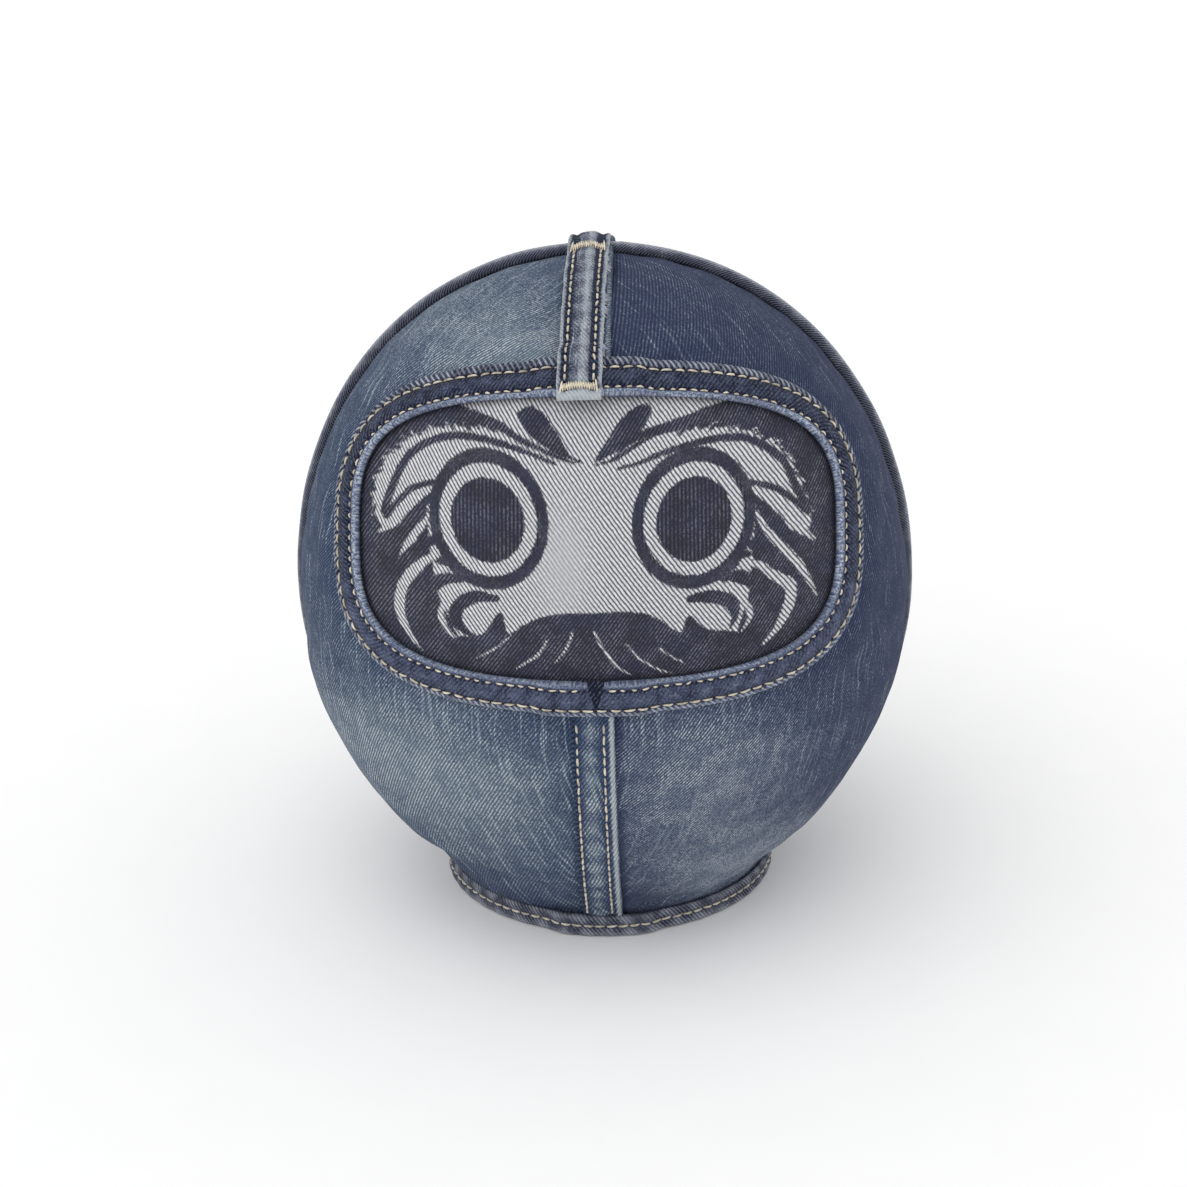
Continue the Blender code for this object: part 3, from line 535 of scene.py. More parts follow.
class Graph:
    """A material's nodes, written as calls that return Values."""

    def __init__(self, name):
        self.material = bpy.data.materials.new(name)
        self.material.use_nodes = True
        self.tree = self.material.node_tree

    def node(self, kind, values=(), **settings):
        """A new node, with values for its inputs by number or name."""
        node = self.tree.nodes.new(kind)
        for key, value in settings.items():
            setattr(node, key, value)
        self.feed(node, values)
        return node

    def feed(self, node, values):
        for key, value in values.items() if isinstance(values, dict) else enumerate(values):
            if isinstance(value, Value):
                self.tree.links.new(value.socket, node.inputs[key])
            else:
                node.inputs[key].default_value = (*value, 1.0) if isinstance(value, tuple) else value

    def math(self, operation, *values):
        return Value(self, self.node("ShaderNodeMath", values, operation=operation).outputs[0])

    def attribute(self, name):
        return Value(self, self.node("ShaderNodeAttribute", attribute_name=name).outputs["Fac"])

    def object_place(self):
        return Value(self, self.node("ShaderNodeTexCoord").outputs["Object"])

    def cloth_place(self):
        """Millimetres across and along the cloth, and both together as a place."""
        across, along = self.attribute("across"), self.attribute("along")
        return across, along, self.vector(across, along)

    def vector(self, x, y):
        return Value(self, self.node("ShaderNodeCombineXYZ", (x, y)).outputs[0])

    def noise(self, place, scale, detail=2.0, roughness=0.55):
        """Smooth noise between 0 and 1, averaging 0.5."""
        values = {"Vector": place, "Scale": scale, "Detail": detail, "Roughness": roughness}
        return Value(self, self.node("ShaderNodeTexNoise", values).outputs["Fac"])

    def cells(self, place):
        """A random value between 0 and 1 for each place."""
        node = self.node("ShaderNodeTexWhiteNoise", {"Vector": place}, noise_dimensions="2D")
        return Value(self, node.outputs["Value"])

    def ramp(self, value, low, high, start=0.0, end=1.0):
        """Smooth change from start to end while value goes from low to high."""
        values = (value, low, high, start, end)
        node = self.node("ShaderNodeMapRange", values, interpolation_type="SMOOTHSTEP")
        return Value(self, node.outputs[0])

    def stripes(self, position, pitch, solid, soft):
        """1 on stripes a pitch apart, 0 between; solid and soft are shares of it on each side of a middle."""
        from_middle = self.math("ABSOLUTE", self.math("FRACT", position / pitch) - 0.5)
        return self.ramp(from_middle, solid, soft, 1.0, 0.0)

    def mix(self, share, first, second):
        """Colour that goes from the first to the second; a colour is a Value or a linear(...) triple."""
        values = {0: share, MIX_FIRST: first, MIX_SECOND: second}
        node = self.node("ShaderNodeMix", values, data_type="RGBA")
        return Value(self, node.outputs[MIX_RESULT])

    def shaded(self, colour, share):
        """The colour made darker or lighter by a factor."""
        node = self.node("ShaderNodeVectorMath", {0: colour, "Scale": share}, operation="SCALE")
        return Value(self, node.outputs[0])

    def finish(self, colour, height, bump_mm=0.1, strength=0.6, roughness=0.9, sheen=0.0):
        """The material, with this colour, and with a bump up to this height."""
        relief = {"Height": height, "Strength": strength, "Distance": bump_mm * MM}
        bump = Value(self, self.node("ShaderNodeBump", relief).outputs[0])
        self.feed(self.tree.nodes["Principled BSDF"], {
            "Base Color": colour, "Roughness": roughness, "Normal": bump, "Sheen Weight": sheen,
            "Sheen Roughness": 0.6, "Specular IOR Level": 0.12})
        return self.material


def linear(red, green, blue):
    """Scene colour from display values between 0 and 255."""
    return tuple((value / 255.0) ** 2.2 for value in (red, green, blue))


THREAD_PITCH_MM = 0.275
BODY_PITCH_MM = 0.235
PICK_RATIO = 1.3
WEFT_DYED = linear(122, 134, 156)
WEFT_WORN = linear(188, 194, 197)


def twill(graph, across, along, lean=1.0, wobble=0.25, pitch=THREAD_PITCH_MM):
    """Where the white cross threads show in a 3/1 twill: 1 on their diagonal lines, 0 between.

    lean is 1 for lines that rise to the right and -1 for lines that fall.
    Returns (white share, profile of the lengthwise threads, random value of each crossing).
    """
    threads = across / pitch
    shift = (graph.noise(graph.vector(across, along), 0.35) - 0.5) * (wobble * 4.0)
    picks = along / (pitch * PICK_RATIO) + shift
    line = graph.stripes(threads - picks * lean, 4.0, 0.10, 0.30)
    thread = graph.math("ABSOLUTE", graph.math("SINE", threads * math.pi))
    crossing = graph.cells(graph.vector(graph.math("FLOOR", threads), graph.math("FLOOR", picks)))
    return line, thread, crossing


def denim(name, dark, worn, line_share, streaks, blotch=0.5, fade_add=0.0):
    """Indigo twill: dark cloth worn lighter where the mesh's fade value and the noise say so, and darker
    where that value holds painted shade beside seams and stitches.
    """
    graph = Graph(name)
    across, along, place = graph.cloth_place()
    line, thread, crossing = twill(graph, across, along, wobble=0.5, pitch=BODY_PITCH_MM)
    bent = across + graph.noise(place, 0.07, 1.0) * 2.0
    slub = graph.ramp(graph.noise(graph.vector(bent * 1.15, along * 0.055), 1.0, 1.0, 0.7), 0.56, 0.70)
    patch = graph.noise(place, 0.055, 3.0, 0.6)
    speck = graph.noise(place, 1.1, 3.0, 0.7)
    wear_and_shade_share = graph.attribute("fade_and_shade")
    fade_and_shade = wear_and_shade_share + fade_add + (patch - 0.5) * blotch + (speck - 0.5) * 0.9
    fade_and_shade = graph.ramp(fade_and_shade + (slub - 0.15) * streaks + (crossing - 0.5) * 0.45, -0.15, 1.15)
    colour = graph.mix(fade_and_shade, dark, worn)
    bare = graph.ramp(wear_and_shade_share, 1.0, 1.7) * graph.ramp(speck, 0.3, 0.6, 0.35, 0.7)
    colour = graph.mix(bare, colour, WEFT_WORN)
    weft = line * graph.ramp(crossing, -0.1, 1.0, line_share * 0.15, line_share * 1.5)
    weft = weft * graph.ramp(fade_and_shade, 0.0, 1.0, 0.35, 1.15)
    weft = weft * graph.ramp(graph.noise(place, 0.16), 0.35, 0.65, 0.5, 1.25)
    colour = graph.mix(weft, colour, graph.mix(fade_and_shade, WEFT_DYED, WEFT_WORN))
    # Painted shade in the grooves between the lengthwise threads; the twill lines are also made a little
    # lighter.
    colour = graph.shaded(colour, (thread * 0.22 + 0.80) * (line * 0.18 + 0.92))
    tick = graph.stripes(along, 1.45, 0.14, 0.3) * graph.attribute("ladder")
    colour = graph.shaded(colour, 1.0 - tick * 0.75)
    height = line * 0.8 + thread * 0.3 + crossing * 0.35
    return graph.finish(colour, height, 0.13, 0.85, crossing * 0.12 + 0.82, 0.02)


def sewing_thread(name, clean, soiled):
    """Twisted cream thread with the fine ribs of its plies and some dye picked up from the cloth."""
    graph = Graph(name)
    place = graph.object_place()
    dirt = graph.ramp(graph.noise(place, 900.0), 0.35, 0.75, 0.0, 0.55)
    colour = graph.mix(graph.attribute("shade") * 0.45 + dirt, clean, soiled)
    return graph.finish(colour, graph.noise(place, 5200.0), 0.05, 0.6, 0.75, 0.05)


THREAD = sewing_thread("thread_cream", linear(232, 222, 200), linear(136, 129, 119))


# ---------------------------------------------------------------- body panels

def panel_runs():
    """Distances from the crown of a panel's rows: even to the neck, then the edge inside the hem."""
    first = run_to_depth(PANEL_EDGE_Y)
    neck = float(run_to_level(NECK_Z))
    rows = np.linspace(first, neck, math.ceil((neck - first) / PANEL_PITCH))
    inside_hem = np.linspace(neck, float(run_to_level(PANEL_BOTTOM_Z)), 6)[1:]
    return np.concatenate([rows, inside_hem])


def panel_rows(levels, edge, side, facing, columns):
    """Grid of skin points from the side seam to edge, on one side of the doll."""
    radius = half_width(levels)
    start = np.arcsin(np.clip(PANEL_EDGE_Y / np.maximum(DEPTH_RATIO * radius, 1e-9), 0.0, 1.0))
    end = np.arccos(np.clip(edge / np.maximum(radius, 1e-9), -1.0, 1.0))
    end = np.maximum(end, start)
    turn = start[:, None] + (end - start)[:, None] * np.linspace(0.0, 1.0, columns)
    x = side * radius[:, None] * np.cos(turn)
    y = facing * DEPTH_RATIO * radius[:, None] * np.sin(turn)
    return np.stack([x, y, np.broadcast_to(levels[:, None], x.shape)], -1)


def cloth_across(points):
    """Distance round the doll from the middle of the panel, in millimetres, at each point."""
    steps = np.linalg.norm(np.diff(points, axis=1), axis=2)
    reach = np.concatenate([np.zeros((len(points), 1)), np.cumsum(steps, axis=1)], axis=1)
    return (reach - 0.5 * reach[:, -1:]) / MM


def side_seam_distance(points):
    return np.abs(points[..., 1]) - PANEL_EDGE_Y


def band_distance(points):
    """Distance from the band's outer edge along the front, large behind; and the place round the band."""
    turns = np.linspace(0.0, 1.0, 481)[:-1]
    best = np.full(points.shape[:2], 1.0)
    place = np.zeros(points.shape[:2])
    for turn, corner in zip(turns, window_point(turns, BAND_WIDTH)):
        reach = np.linalg.norm(points - corner, axis=-1)
        nearer = reach < best
        best = np.where(nearer, reach, best)
        place = np.where(nearer, turn, place)
    return best, place


def inside_outline(x, z, outline):
    """Which places lie inside a closed outline of (x, z) points."""
    within = np.zeros(x.shape, bool)
    for here, there in zip(outline, np.roll(outline, -1, axis=0)):
        crosses = (here[1] > z) != (there[1] > z)
        rise = there[1] - here[1]
        if abs(rise) < 1e-12:
            continue
        edge_x = here[0] + (z - here[1]) / rise * (there[0] - here[0])
        within ^= crosses & (x < edge_x)
    return within


def window_hole(points):
    """Faces of a panel's grid that lie outside the hole under the band."""
    within = inside_outline(points[..., 0], points[..., 2], window_ring(CLOTH_HOLE)) & (points[..., 1] < 0.0)
    return ~all_corners(within)


def all_corners(marked):
    """Faces of a grid whose four corners are all marked."""
    return marked[:-1, :-1] & marked[:-1, 1:] & marked[1:, 1:] & marked[1:, :-1]


def quilt(points, facing):
    """Height of the cloth's own shape: dents of the stuffing, puckers, and the roll into the side seam."""
    def waves(run, size, seed, wander=2.0):
        return np.sin(run + wander * wave_noise(points, size * MM, seed, 1))

    from_side = side_seam_distance(points)
    from_strip = np.maximum(0.0, np.abs(points[..., 0] + 0.7 * MM) - 5.5 * MM)
    height = 0.22 * MM * wave_noise(points, 42.0 * MM, 7, 2) + 0.07 * MM * wave_noise(points, 11.0 * MM, 8, 2)
    height += 0.16 * MM * waves(points[..., 2] / (3.4 * MM), 30.0, 9) * np.exp(-from_strip / (3.0 * MM))
    height += 0.12 * MM * waves(angle_around_front(points) * 46.0, 40.0, 10) * np.exp(-from_side / (3.5 * MM))
    height -= SEAM_ROLL_DEPTH * bump_at(from_side, 0.0, SEAM_ROLL)
    if facing == FRONT:
        reach, place = band_distance(points)
        pulls = waves(place * LIP_LENGTH / (2.1 * MM), 26.0, 11, 2.5)
        height += 0.17 * MM * pulls * np.exp(-reach / (4.5 * MM))
        height += 0.5 * MM * bump_at(reach, 6.0 * MM, 5.0 * MM)
    return height


def stuffed(flat, facing):
    """Height each place of a panel gains when the filling pushes it out, found by cloth simulation.

    The sheet is held at its seams, at the base and under the window band.
    """
    rows, columns = spaced(flat.shape[0]), spaced(flat.shape[1])
    sheet = flat[rows][:, columns]
    held = np.zeros(sheet.shape[:2], bool)
    held[[0, -1]] = True
    held[:, [0, -1]] = True
    if facing == FRONT:
        held |= inside_outline(sheet[..., 0], sheet[..., 2], window_ring(BAND_WIDTH, 181))
    moved = settle_cloth(sheet, np.flatnonzero(held.ravel()))
    gained = np.clip(np.sum((moved - sheet) * normal_of(sheet), axis=-1), -SWELL_CAP, SWELL_CAP)
    gained *= 1.0 - bump_at(side_seam_distance(sheet), 0.0, SEAM_STIFF_WIDTH)
    wide = np.stack([np.interp(np.arange(flat.shape[1]), columns, row) for row in gained])
    full = np.stack([np.interp(np.arange(flat.shape[0]), rows, column) for column in wide.T], -1)
    return smoothed(smoothed(full).T).T


def spaced(count):
    """Numbers of the grid lines that the simulated sheet keeps: not the first, which shrinks to a point."""
    return np.unique(np.linspace(1, count - 1, math.ceil(count * PANEL_PITCH / SHEET_PITCH)).astype(int))


def smoothed(heights):
    """Heights averaged with their neighbours down each column."""
    reach = round(SHEET_PITCH / PANEL_PITCH)
    weights = np.hanning(2 * reach + 3)[1:-1]
    padded = np.pad(heights, ((reach, reach), (0, 0)), mode="edge")
    shares = weights / weights.sum()
    return sum(share * padded[start:start + len(heights)] for start, share in enumerate(shares))


def settle_cloth(sheet, held):
    """Places of a sheet's points after the cloth simulation."""
    faces = grid_faces(*sheet.shape[:2]).reshape(-1, 4).tolist()
    mesh = new_mesh("stuffed_sheet", sheet, faces)
    face_outwards(mesh)
    piece = bpy.data.objects.new("stuffed_sheet", mesh)
    scene = bpy.context.scene
    scene.collection.objects.link(piece)
    piece.vertex_groups.new(name="held").add(held.tolist(), 1.0, "REPLACE")
    cloth = piece.modifiers.new("cloth", "CLOTH")
    for key, value in SHEET_CLOTH.items():
        setattr(cloth.settings, key, value)
    cloth.settings.effector_weights.gravity = 0.0
    cloth.point_cache.frame_end = SHEET_FRAMES
    for frame_number in range(1, SHEET_FRAMES + 1):
        scene.frame_set(frame_number)
    settled = piece.evaluated_get(bpy.context.evaluated_depsgraph_get())
    points = np.empty(len(settled.data.vertices) * 3)
    settled.data.vertices.foreach_get("co", points)
    bpy.data.objects.remove(piece)
    scene.frame_set(1)
    return points.reshape(sheet.shape)


def angle_around_front(points):
    """Angle round the middle of the doll as seen from the front."""
    return np.arctan2(points[..., 0], points[..., 2] - WIDEST_Z)


def front_left_fade(points):
    """Palest beside the band and low on the belly, darker towards the side seam and the base."""
    x, z = points[..., 0] / MM, points[..., 2] / MM
    top = 0.40 * bump_at(x, -24.0, 38.0) * bump_at(z, 161.0, 24.0)
    above_band = 0.45 * bump_at(x, -15.0, 24.0) * bump_at(z, 156.0, 9.0)
    belly = 0.86 * bump_at(x, -46.0, 36.0) * bump_at(z, 57.0, 24.0)
    low = 0.16 * bump_at(x, -20.0, 30.0) * bump_at(z, 30.0, 18.0)
    return 0.12 + top + above_band + belly + low


def front_right_fade(points):
    """Almost unworn above the window, pale on the belly."""
    x, z = points[..., 0] / MM, points[..., 2] / MM
    belly = 0.80 * bump_at(x, 24.0, 29.0) * bump_at(z, 60.0, 30.0)
    crown = 0.10 * bump_at(x, 22.0, 24.0) * bump_at(z, 168.0, 8.0)
    above_hem = 1.0 * bump_at(x, 38.0, 24.0) * bump_at(z, 20.0, 16.0)
    return 0.02 + belly + crown + above_hem


def back_fade(points):
    """Worn at the widest part, darker at the crown and base."""
    x, z = points[..., 0] / MM, points[..., 2] / MM
    return 0.10 + 0.5 * bump_at(np.abs(x), 34.0, 34.0) * bump_at(z, 92.0, 46.0)


def strip_rope(run):
    """Puffs and dips along the strip, between 0 and 1."""
    return 0.5 + 0.5 * np.sin(2.0 * math.pi * run / (7.6 * MM) + 1.3 * np.sin(run / (11.0 * MM)))


def strip_profile(x, run):
    """Height of the lapped strip across its width, with a channel at each stitch row and puffs between."""
    edge_in = smooth_step((x - (LAP_START_X - 0.9 * MM)) / (0.9 * MM))
    channels = sum(bump_at(x, row, 0.45 * MM) for row in SEAM_ROWS_X.values())
    puff = bump_at(x, STRIP_MIDDLE_X, 2.0 * MM)
    ridge = bump_at(x, SEAM_ROWS_X["right"] + 1.75 * MM, 0.75 * MM)
    rope = strip_rope(run)
    height = LAP_LIFT * edge_in - 0.42 * MM * channels * edge_in
    height = height + puff * (0.10 + 0.42 * rope) * MM + ridge * (0.30 + 0.12 * rope) * MM
    fold = np.clip((LAP_END_X - x) / (0.8 * MM), 0.0, 1.0)
    return height * np.sqrt(1.0 - (1.0 - fold) ** 2) - 0.2 * MM * (fold <= 0.0)


def strip_fade_and_shade(x, run):
    """Extra wear on the strip's puffs and ridge, painted shade in the channels of its stitch rows, and a
    painted shadow along its left edge, below the step down to the panel.
    """
    on_strip = smooth_step((x - (LAP_START_X - 0.5 * MM)) / (0.6 * MM))
    middle = 0.30 * bump_at(x, STRIP_MIDDLE_X, 1.8 * MM)
    puff = 0.6 * bump_at(x, STRIP_MIDDLE_X, 1.7 * MM) * strip_rope(run)
    below_loop = smooth_step((run - 60.0 * MM) / (12.0 * MM))
    ridge = bump_at(x, SEAM_ROWS_X["right"] + 1.85 * MM, 0.55 * MM) * (0.5 + 1.8 * below_loop)
    # Painted shade in the stitch channels, and a painted shadow along the strip's left edge.
    channels = sum(bump_at(x, row, 0.7 * MM) for row in SEAM_ROWS_X.values())
    edge = 0.5 * bump_at(x, LAP_START_X - 0.3 * MM, 0.9 * MM)
    return middle + puff + ridge - 0.15 * on_strip - channels - edge


def strip_ladder(x):
    """Where dark needle ticks lie beside the strip's left row."""
    return bump_at(x, LAP_START_X + 0.1 * MM, 0.55 * MM)


def strip_columns():
    low = LAP_START_X - 1.0 * MM
    return np.linspace(low, LAP_END_X, math.ceil((LAP_END_X - low) / STRIP_PITCH) + 1)


def left_panel(name, facing, fade_of, cloth):
    """Panel whose middle edge is the raised strip of the centre seam."""
    runs = panel_runs()[:, None]
    xs = strip_columns()[None, :]
    corner = beside_centre(runs[:, 0], xs[0, 0], 0.0, facing)
    columns = math.ceil(0.5 * math.pi * HALF_WIDTH / PANEL_PITCH)
    main = panel_rows(corner[:, 2], -xs[0, 0], LEFT, facing, columns)[:, :-1]
    flat = np.concatenate([main, beside_centre(runs, xs, 0.0, facing)], axis=1)
    on_main, on_strip = np.s_[:, :main.shape[1]], np.s_[:, main.shape[1]:]
    height = quilt(flat, facing)
    height[on_strip] *= np.exp(-(xs - xs[0, 0]) / (2.0 * MM))
    height[on_main] += stuffed(main, facing)
    height[on_strip] += strip_profile(xs, runs)
    ladder = np.zeros(height.shape)
    ladder[on_strip] = strip_ladder(xs)
    fade_and_shade = fade_of(flat)
    fade_and_shade[on_strip] += strip_fade_and_shade(xs, runs)
    values = {"across": cloth_across(flat), "along": -runs / MM, "fade_and_shade": fade_and_shade, "ladder": ladder}
    finish_panel(name, facing, flat, height, values, cloth)


def right_panel(name, facing, fade_of, cloth):
    """Plain panel that runs under the left panel's strip."""
    runs = panel_runs()
    levels = beside_centre(runs, LAP_END_X, 0.0, facing)[:, 2]
    columns = math.ceil(0.5 * math.pi * HALF_WIDTH / PANEL_PITCH)
    flat = panel_rows(levels, UNDERLAP_X, RIGHT, facing, columns)
    under_strip = smooth_step((LAP_END_X + 1.0 * MM - flat[..., 0]) / (1.0 * MM))
    height = quilt(flat, facing) * (1.0 - under_strip) - 0.3 * MM * under_strip + stuffed(flat, facing)
    # Painted shadow on this panel along the folded edge of the strip that laps over it.
    fade_and_shade = fade_of(flat) - 0.5 * bump_at(flat[..., 0], LAP_END_X + 0.2 * MM, 0.9 * MM)
    values = {"across": -cloth_across(flat), "along": -runs[:, None] / MM, "fade_and_shade": fade_and_shade}
    finish_panel(name, facing, flat, height, values, cloth)


def finish_panel(name, facing, flat, height, values, cloth):
    keep = window_hole(flat) if facing == FRONT else None
    mesh = grid_mesh(f"{name}_cloth", on_skin(flat, height), values, keep=keep)
    face_outwards(mesh)
    thicken(dress(mesh, *cloth, name), DENIM)


def build_panels():
    """The four panels. A cloth is a material and the name of its slot."""
    faded = denim("denim_faded_blue", linear(50, 63, 90), linear(102, 118, 134), line_share=0.8, streaks=0.7)
    darker = denim("denim_dark_blue", linear(48, 56, 82), linear(86, 100, 122), line_share=0.65, streaks=0.5)
    middle = denim("denim_mid_blue", linear(48, 58, 84), linear(92, 107, 128), line_share=0.7, streaks=0.3)
    left_panel("front_panel_left", FRONT, front_left_fade, (faded, "denim_faded_blue"))
    right_panel("front_panel_right", FRONT, front_right_fade, (darker, "denim_dark_blue"))
    left_panel("back_panel_left", BACK, back_fade, (middle, "denim_mid_blue"))
    right_panel("back_panel_right", BACK, back_fade, (middle, "denim_mid_blue"))


# ---------------------------------------------------------------- the face's print

def smooth_line(corners, closed=False, steps=8):
    """Rounded line through (x, z) corners given in millimetres, as an array of points."""
    corners = np.array(corners, float)
    if closed:
        padded = np.concatenate([corners[-1:], corners, corners[:2]])
    else:
        padded = np.concatenate([corners[:1], corners, corners[-1:]])
    share = np.linspace(0.0, 1.0, steps, endpoint=False)[:, None]
    pieces = []
    for before, here, there, after in zip(padded, padded[1:], padded[2:], padded[3:]):
        bend = 2.0 * before - 5.0 * here + 4.0 * there - after
        twist = 3.0 * here - before - 3.0 * there + after
        pieces.append(here + 0.5 * share * ((there - before) + share * (bend + share * twist)))
    if not closed:
        pieces.append(corners[-1:])
    return np.concatenate(pieces)


def line_distance(x, z, line):
    """Distance to a line of points, and the share of its length at the nearest place."""
    runs = distances(line)
    best = np.full(x.shape, 1e9)
    place = np.zeros(x.shape)
    for here, there, start, step in zip(line, line[1:], runs, np.diff(runs)):
        way = (there - here) / max(step, 1e-9)
        run = np.clip((x - here[0]) * way[0] + (z - here[1]) * way[1], 0.0, step)
        reach = np.hypot(x - here[0] - way[0] * run, z - here[1] - way[1] * run)
        nearer = reach < best
        best = np.where(nearer, reach, best)
        place = np.where(nearer, start + run, place)
    return best, place / runs[-1]


class Print:
    """Dye on the face cloth: depth in millimetres inside the dark parts, below 0 on the white."""

    REACH = 2.5

    def __init__(self, x, z):
        self.x = x
        self.z = z
        self.depth = np.full(x.shape, -self.REACH)

    def paint(self, outline, shape_depth, dark):
        """Applies a shape's depth, worked out only near its outline."""
        low = outline.min(axis=0) - self.REACH - 2.0
        high = outline.max(axis=0) + self.REACH + 2.0
        near = (self.x > low[0]) & (self.x < high[0]) & (self.z > low[1]) & (self.z < high[1])
        depth = np.clip(shape_depth(self.x[near], self.z[near]), -self.REACH, self.REACH)
        kept = self.depth[near]
        self.depth[near] = np.maximum(kept, depth) if dark else np.minimum(kept, -depth)

    def area(self, corners, dark=True):
        outline = smooth_line(corners, closed=True, steps=5)
        ring = np.concatenate([outline, outline[:1]])

        def depth(x, z):
            reach, _ = line_distance(x, z, ring)
            return np.where(inside_outline(x, z, outline), reach, -reach)

        self.paint(outline, depth, dark)

    def stroke(self, corners, width, start, end, dark=True):
        """Brush stroke that swells in the middle; start and end are its widths there as shares."""
        line = smooth_line(corners)

        def depth(x, z):
            reach, place = line_distance(x, z, line)
            swell = np.interp(place, [0.0, 0.25, 0.65, 1.0], [start, 0.9, 1.0, end])
            return 0.5 * width * swell - reach

        self.paint(line, depth, dark)

    def round_patch(self, x, z, across, tall, dark=True):
        turn = circle(24)
        self.area(np.stack([x + across * np.cos(turn), z + tall * np.sin(turn)], -1), dark)

    def tufts(self, line, count, length, width, across, ahead, dark=True):
        """Pointed hairs of uneven length along a line; across and ahead give their direction from it."""
        path = smooth_line(line)
        for hair, share in enumerate(np.linspace(0.03, 0.97, count)):
            at = (share + 0.015 * math.sin(hair * 2.7)) * (len(path) - 1)
            number = min(int(at), len(path) - 2)
            root = path[number] + (at - number) * (path[number + 1] - path[number])
            along = unit(path[number + 1] - path[number])
            way = np.array([-along[1], along[0]]) * across + along * ahead
            bend = 0.18 * math.sin(hair * 1.9) * np.array([-way[1], way[0]])
            reach = length * (0.72 + 0.38 * math.sin(hair * 4.1 + 1.0))
            corners = [root - way * 0.9, root + (way + bend) * 0.5 * reach, root + way * reach]
            self.stroke(corners, width * (1.0 + 0.3 * math.sin(hair * 3.3)), 1.2, 0.0, dark)


EYES = {LEFT: (-25.4, 124.9), RIGHT: (23.8, 124.8)}
PUPIL, WHITE_RING, DARK_RING_WIDE, DARK_RING_TALL = 9.1, 12.0, 14.8, 15.5

# Drawn in millimetres, as (x, z). The two sides are listed one by one and differ a little.
LEFT_SIDE = {
    "outer": [(-12.5, 140.6), (-18.9, 144.2), (-23.6, 146.5), (-30.5, 147.9), (-36, 148.6), (-46, 148),
              (-62, 140), (-64, 118), (-63, 98), (-52, 86), (-36, 88), (-33, 96), (-38, 107),
              (-40, 118), (-42, 127), (-51, 119), (-55.2, 121), (-55.6, 125.5), (-53.2, 131.8),
              (-49.2, 136.6), (-43.6, 140.6), (-37, 143.1), (-30, 144), (-23.6, 144.2), (-17.3, 141.8)],
    "leaf": [(-18.3, 148), (-15.2, 149.6), (-11.6, 148), (-8, 143.8), (-5.8, 140.2), (-2.3, 138.3),
             (-8.6, 139.9), (-14.1, 143), (-17.2, 145.8)],
    "under_leaf": [(-16, 142.6), (-12, 140.7), (-7.5, 139.2), (-4, 138.2)],
    "lid": [(-9, 138), (-14, 139.6), (-20, 141.1), (-26, 142), (-32.5, 142), (-39, 140.2), (-45.2, 136.2),
            (-49.2, 130), (-52.3, 122.3)],
    "lid_back": [(-51.8, 121.5), (-48.5, 125.2), (-44.5, 129), (-38.5, 131.6)],
    "crease": [(-38.5, 129), (-42.5, 125.5), (-46.5, 119.8), (-51.5, 113)],
    "white": [[(-39.5, 129.6), (-43.3, 127.4), (-47, 124), (-50.5, 119.7), (-54, 117)],
              [(-40.3, 123.6), (-43.5, 119.5), (-46.5, 115), (-48.8, 111.2)],
              [(-38.3, 115.8), (-42.5, 112.4), (-46.4, 108), (-48, 104), (-48.2, 99.5), (-46, 95),
              (-43, 91.3)],
              [(-31, 108.5), (-35.2, 106), (-37.4, 102), (-35.8, 98), (-32, 95.6)],
              [(-30, 102.6), (-26.8, 104.8), (-22.8, 105.2)]],
    "dark": [[(-36.5, 120), (-42, 117), (-47.2, 112), (-51.5, 107)],
             [(-38, 114.2), (-35, 114.4), (-32.5, 111.5)],
             [(-31.5, 111.2), (-37, 110), (-42, 105.5), (-43.3, 100.5), (-41, 95.5), (-37.3, 93)],
             [(-23.5, 107.5), (-28.5, 107.4), (-32.4, 105), (-33.8, 102), (-32, 99), (-28, 97.6)]],
}
RIGHT_SIDE = {
    "outer": [(5.5, 140), (9, 143.6), (14.1, 145.2), (22.7, 146.9), (30, 148.3), (46, 148), (62, 140),
              (64, 118), (63, 98), (52, 86), (38, 88), (34, 96), (37, 107), (38, 118), (40, 127),
              (51, 117.5), (52.6, 121), (51, 125.6), (48.8, 131.5), (46, 135.8), (41.8, 139.2),
              (35.6, 142.2), (28, 143.5), (20, 143.7), (11, 142.5)],
    "leaf": [(0.4, 138.5), (3.2, 142.7), (6.2, 146.7), (9.6, 149.2), (12.6, 150), (14.2, 148.9),
             (12.8, 146.1), (9.9, 142.9), (5.7, 140.5)],
    "under_leaf": [(15, 143.6), (10.5, 141.8), (5.5, 139.2), (0.5, 137.8)],
    "lid": [(6, 137), (11, 138), (16, 139.5), (22, 140.6), (28.5, 141.2), (35, 140.6), (40.5, 138.2),
            (46, 133.3), (49, 127.3), (51.8, 121.8)],
    "lid_back": [(52, 121.3), (47.5, 125.3), (43.2, 128.6), (36.5, 131.2)],
    "crease": [(36, 129.2), (39.5, 126), (43.5, 122), (49, 114.8)],
    "white": [[(38.2, 129.2), (41.5, 126.5), (44.8, 123), (49, 118.7), (53.5, 114.5)],
              [(39, 124), (41, 120), (44.6, 115.7), (50, 109), (54, 101)],
              [(37, 113.2), (40, 111.9), (44, 108.4), (47.2, 105.2), (46.4, 100), (43.4, 95.6), (40, 92.5)],
              [(30, 108.5), (33.4, 107), (36.2, 103.5), (37.1, 100.5), (35, 97.5)],
              [(25.3, 104.2), (28.6, 103.8), (30.4, 102)]],
    "dark": [[(36, 118.5), (39.3, 116), (43.2, 112), (47.5, 107.5)],
             [(37, 115.2), (34.5, 115.3), (32.3, 111.8)],
             [(28.5, 111.2), (34.5, 110.5), (39.3, 107.5), (41.7, 103.5), (41, 98.5), (38, 95)],
             [(22.5, 107.1), (27.5, 107), (32.2, 105), (33.4, 101.5), (32, 98.5)]],
}
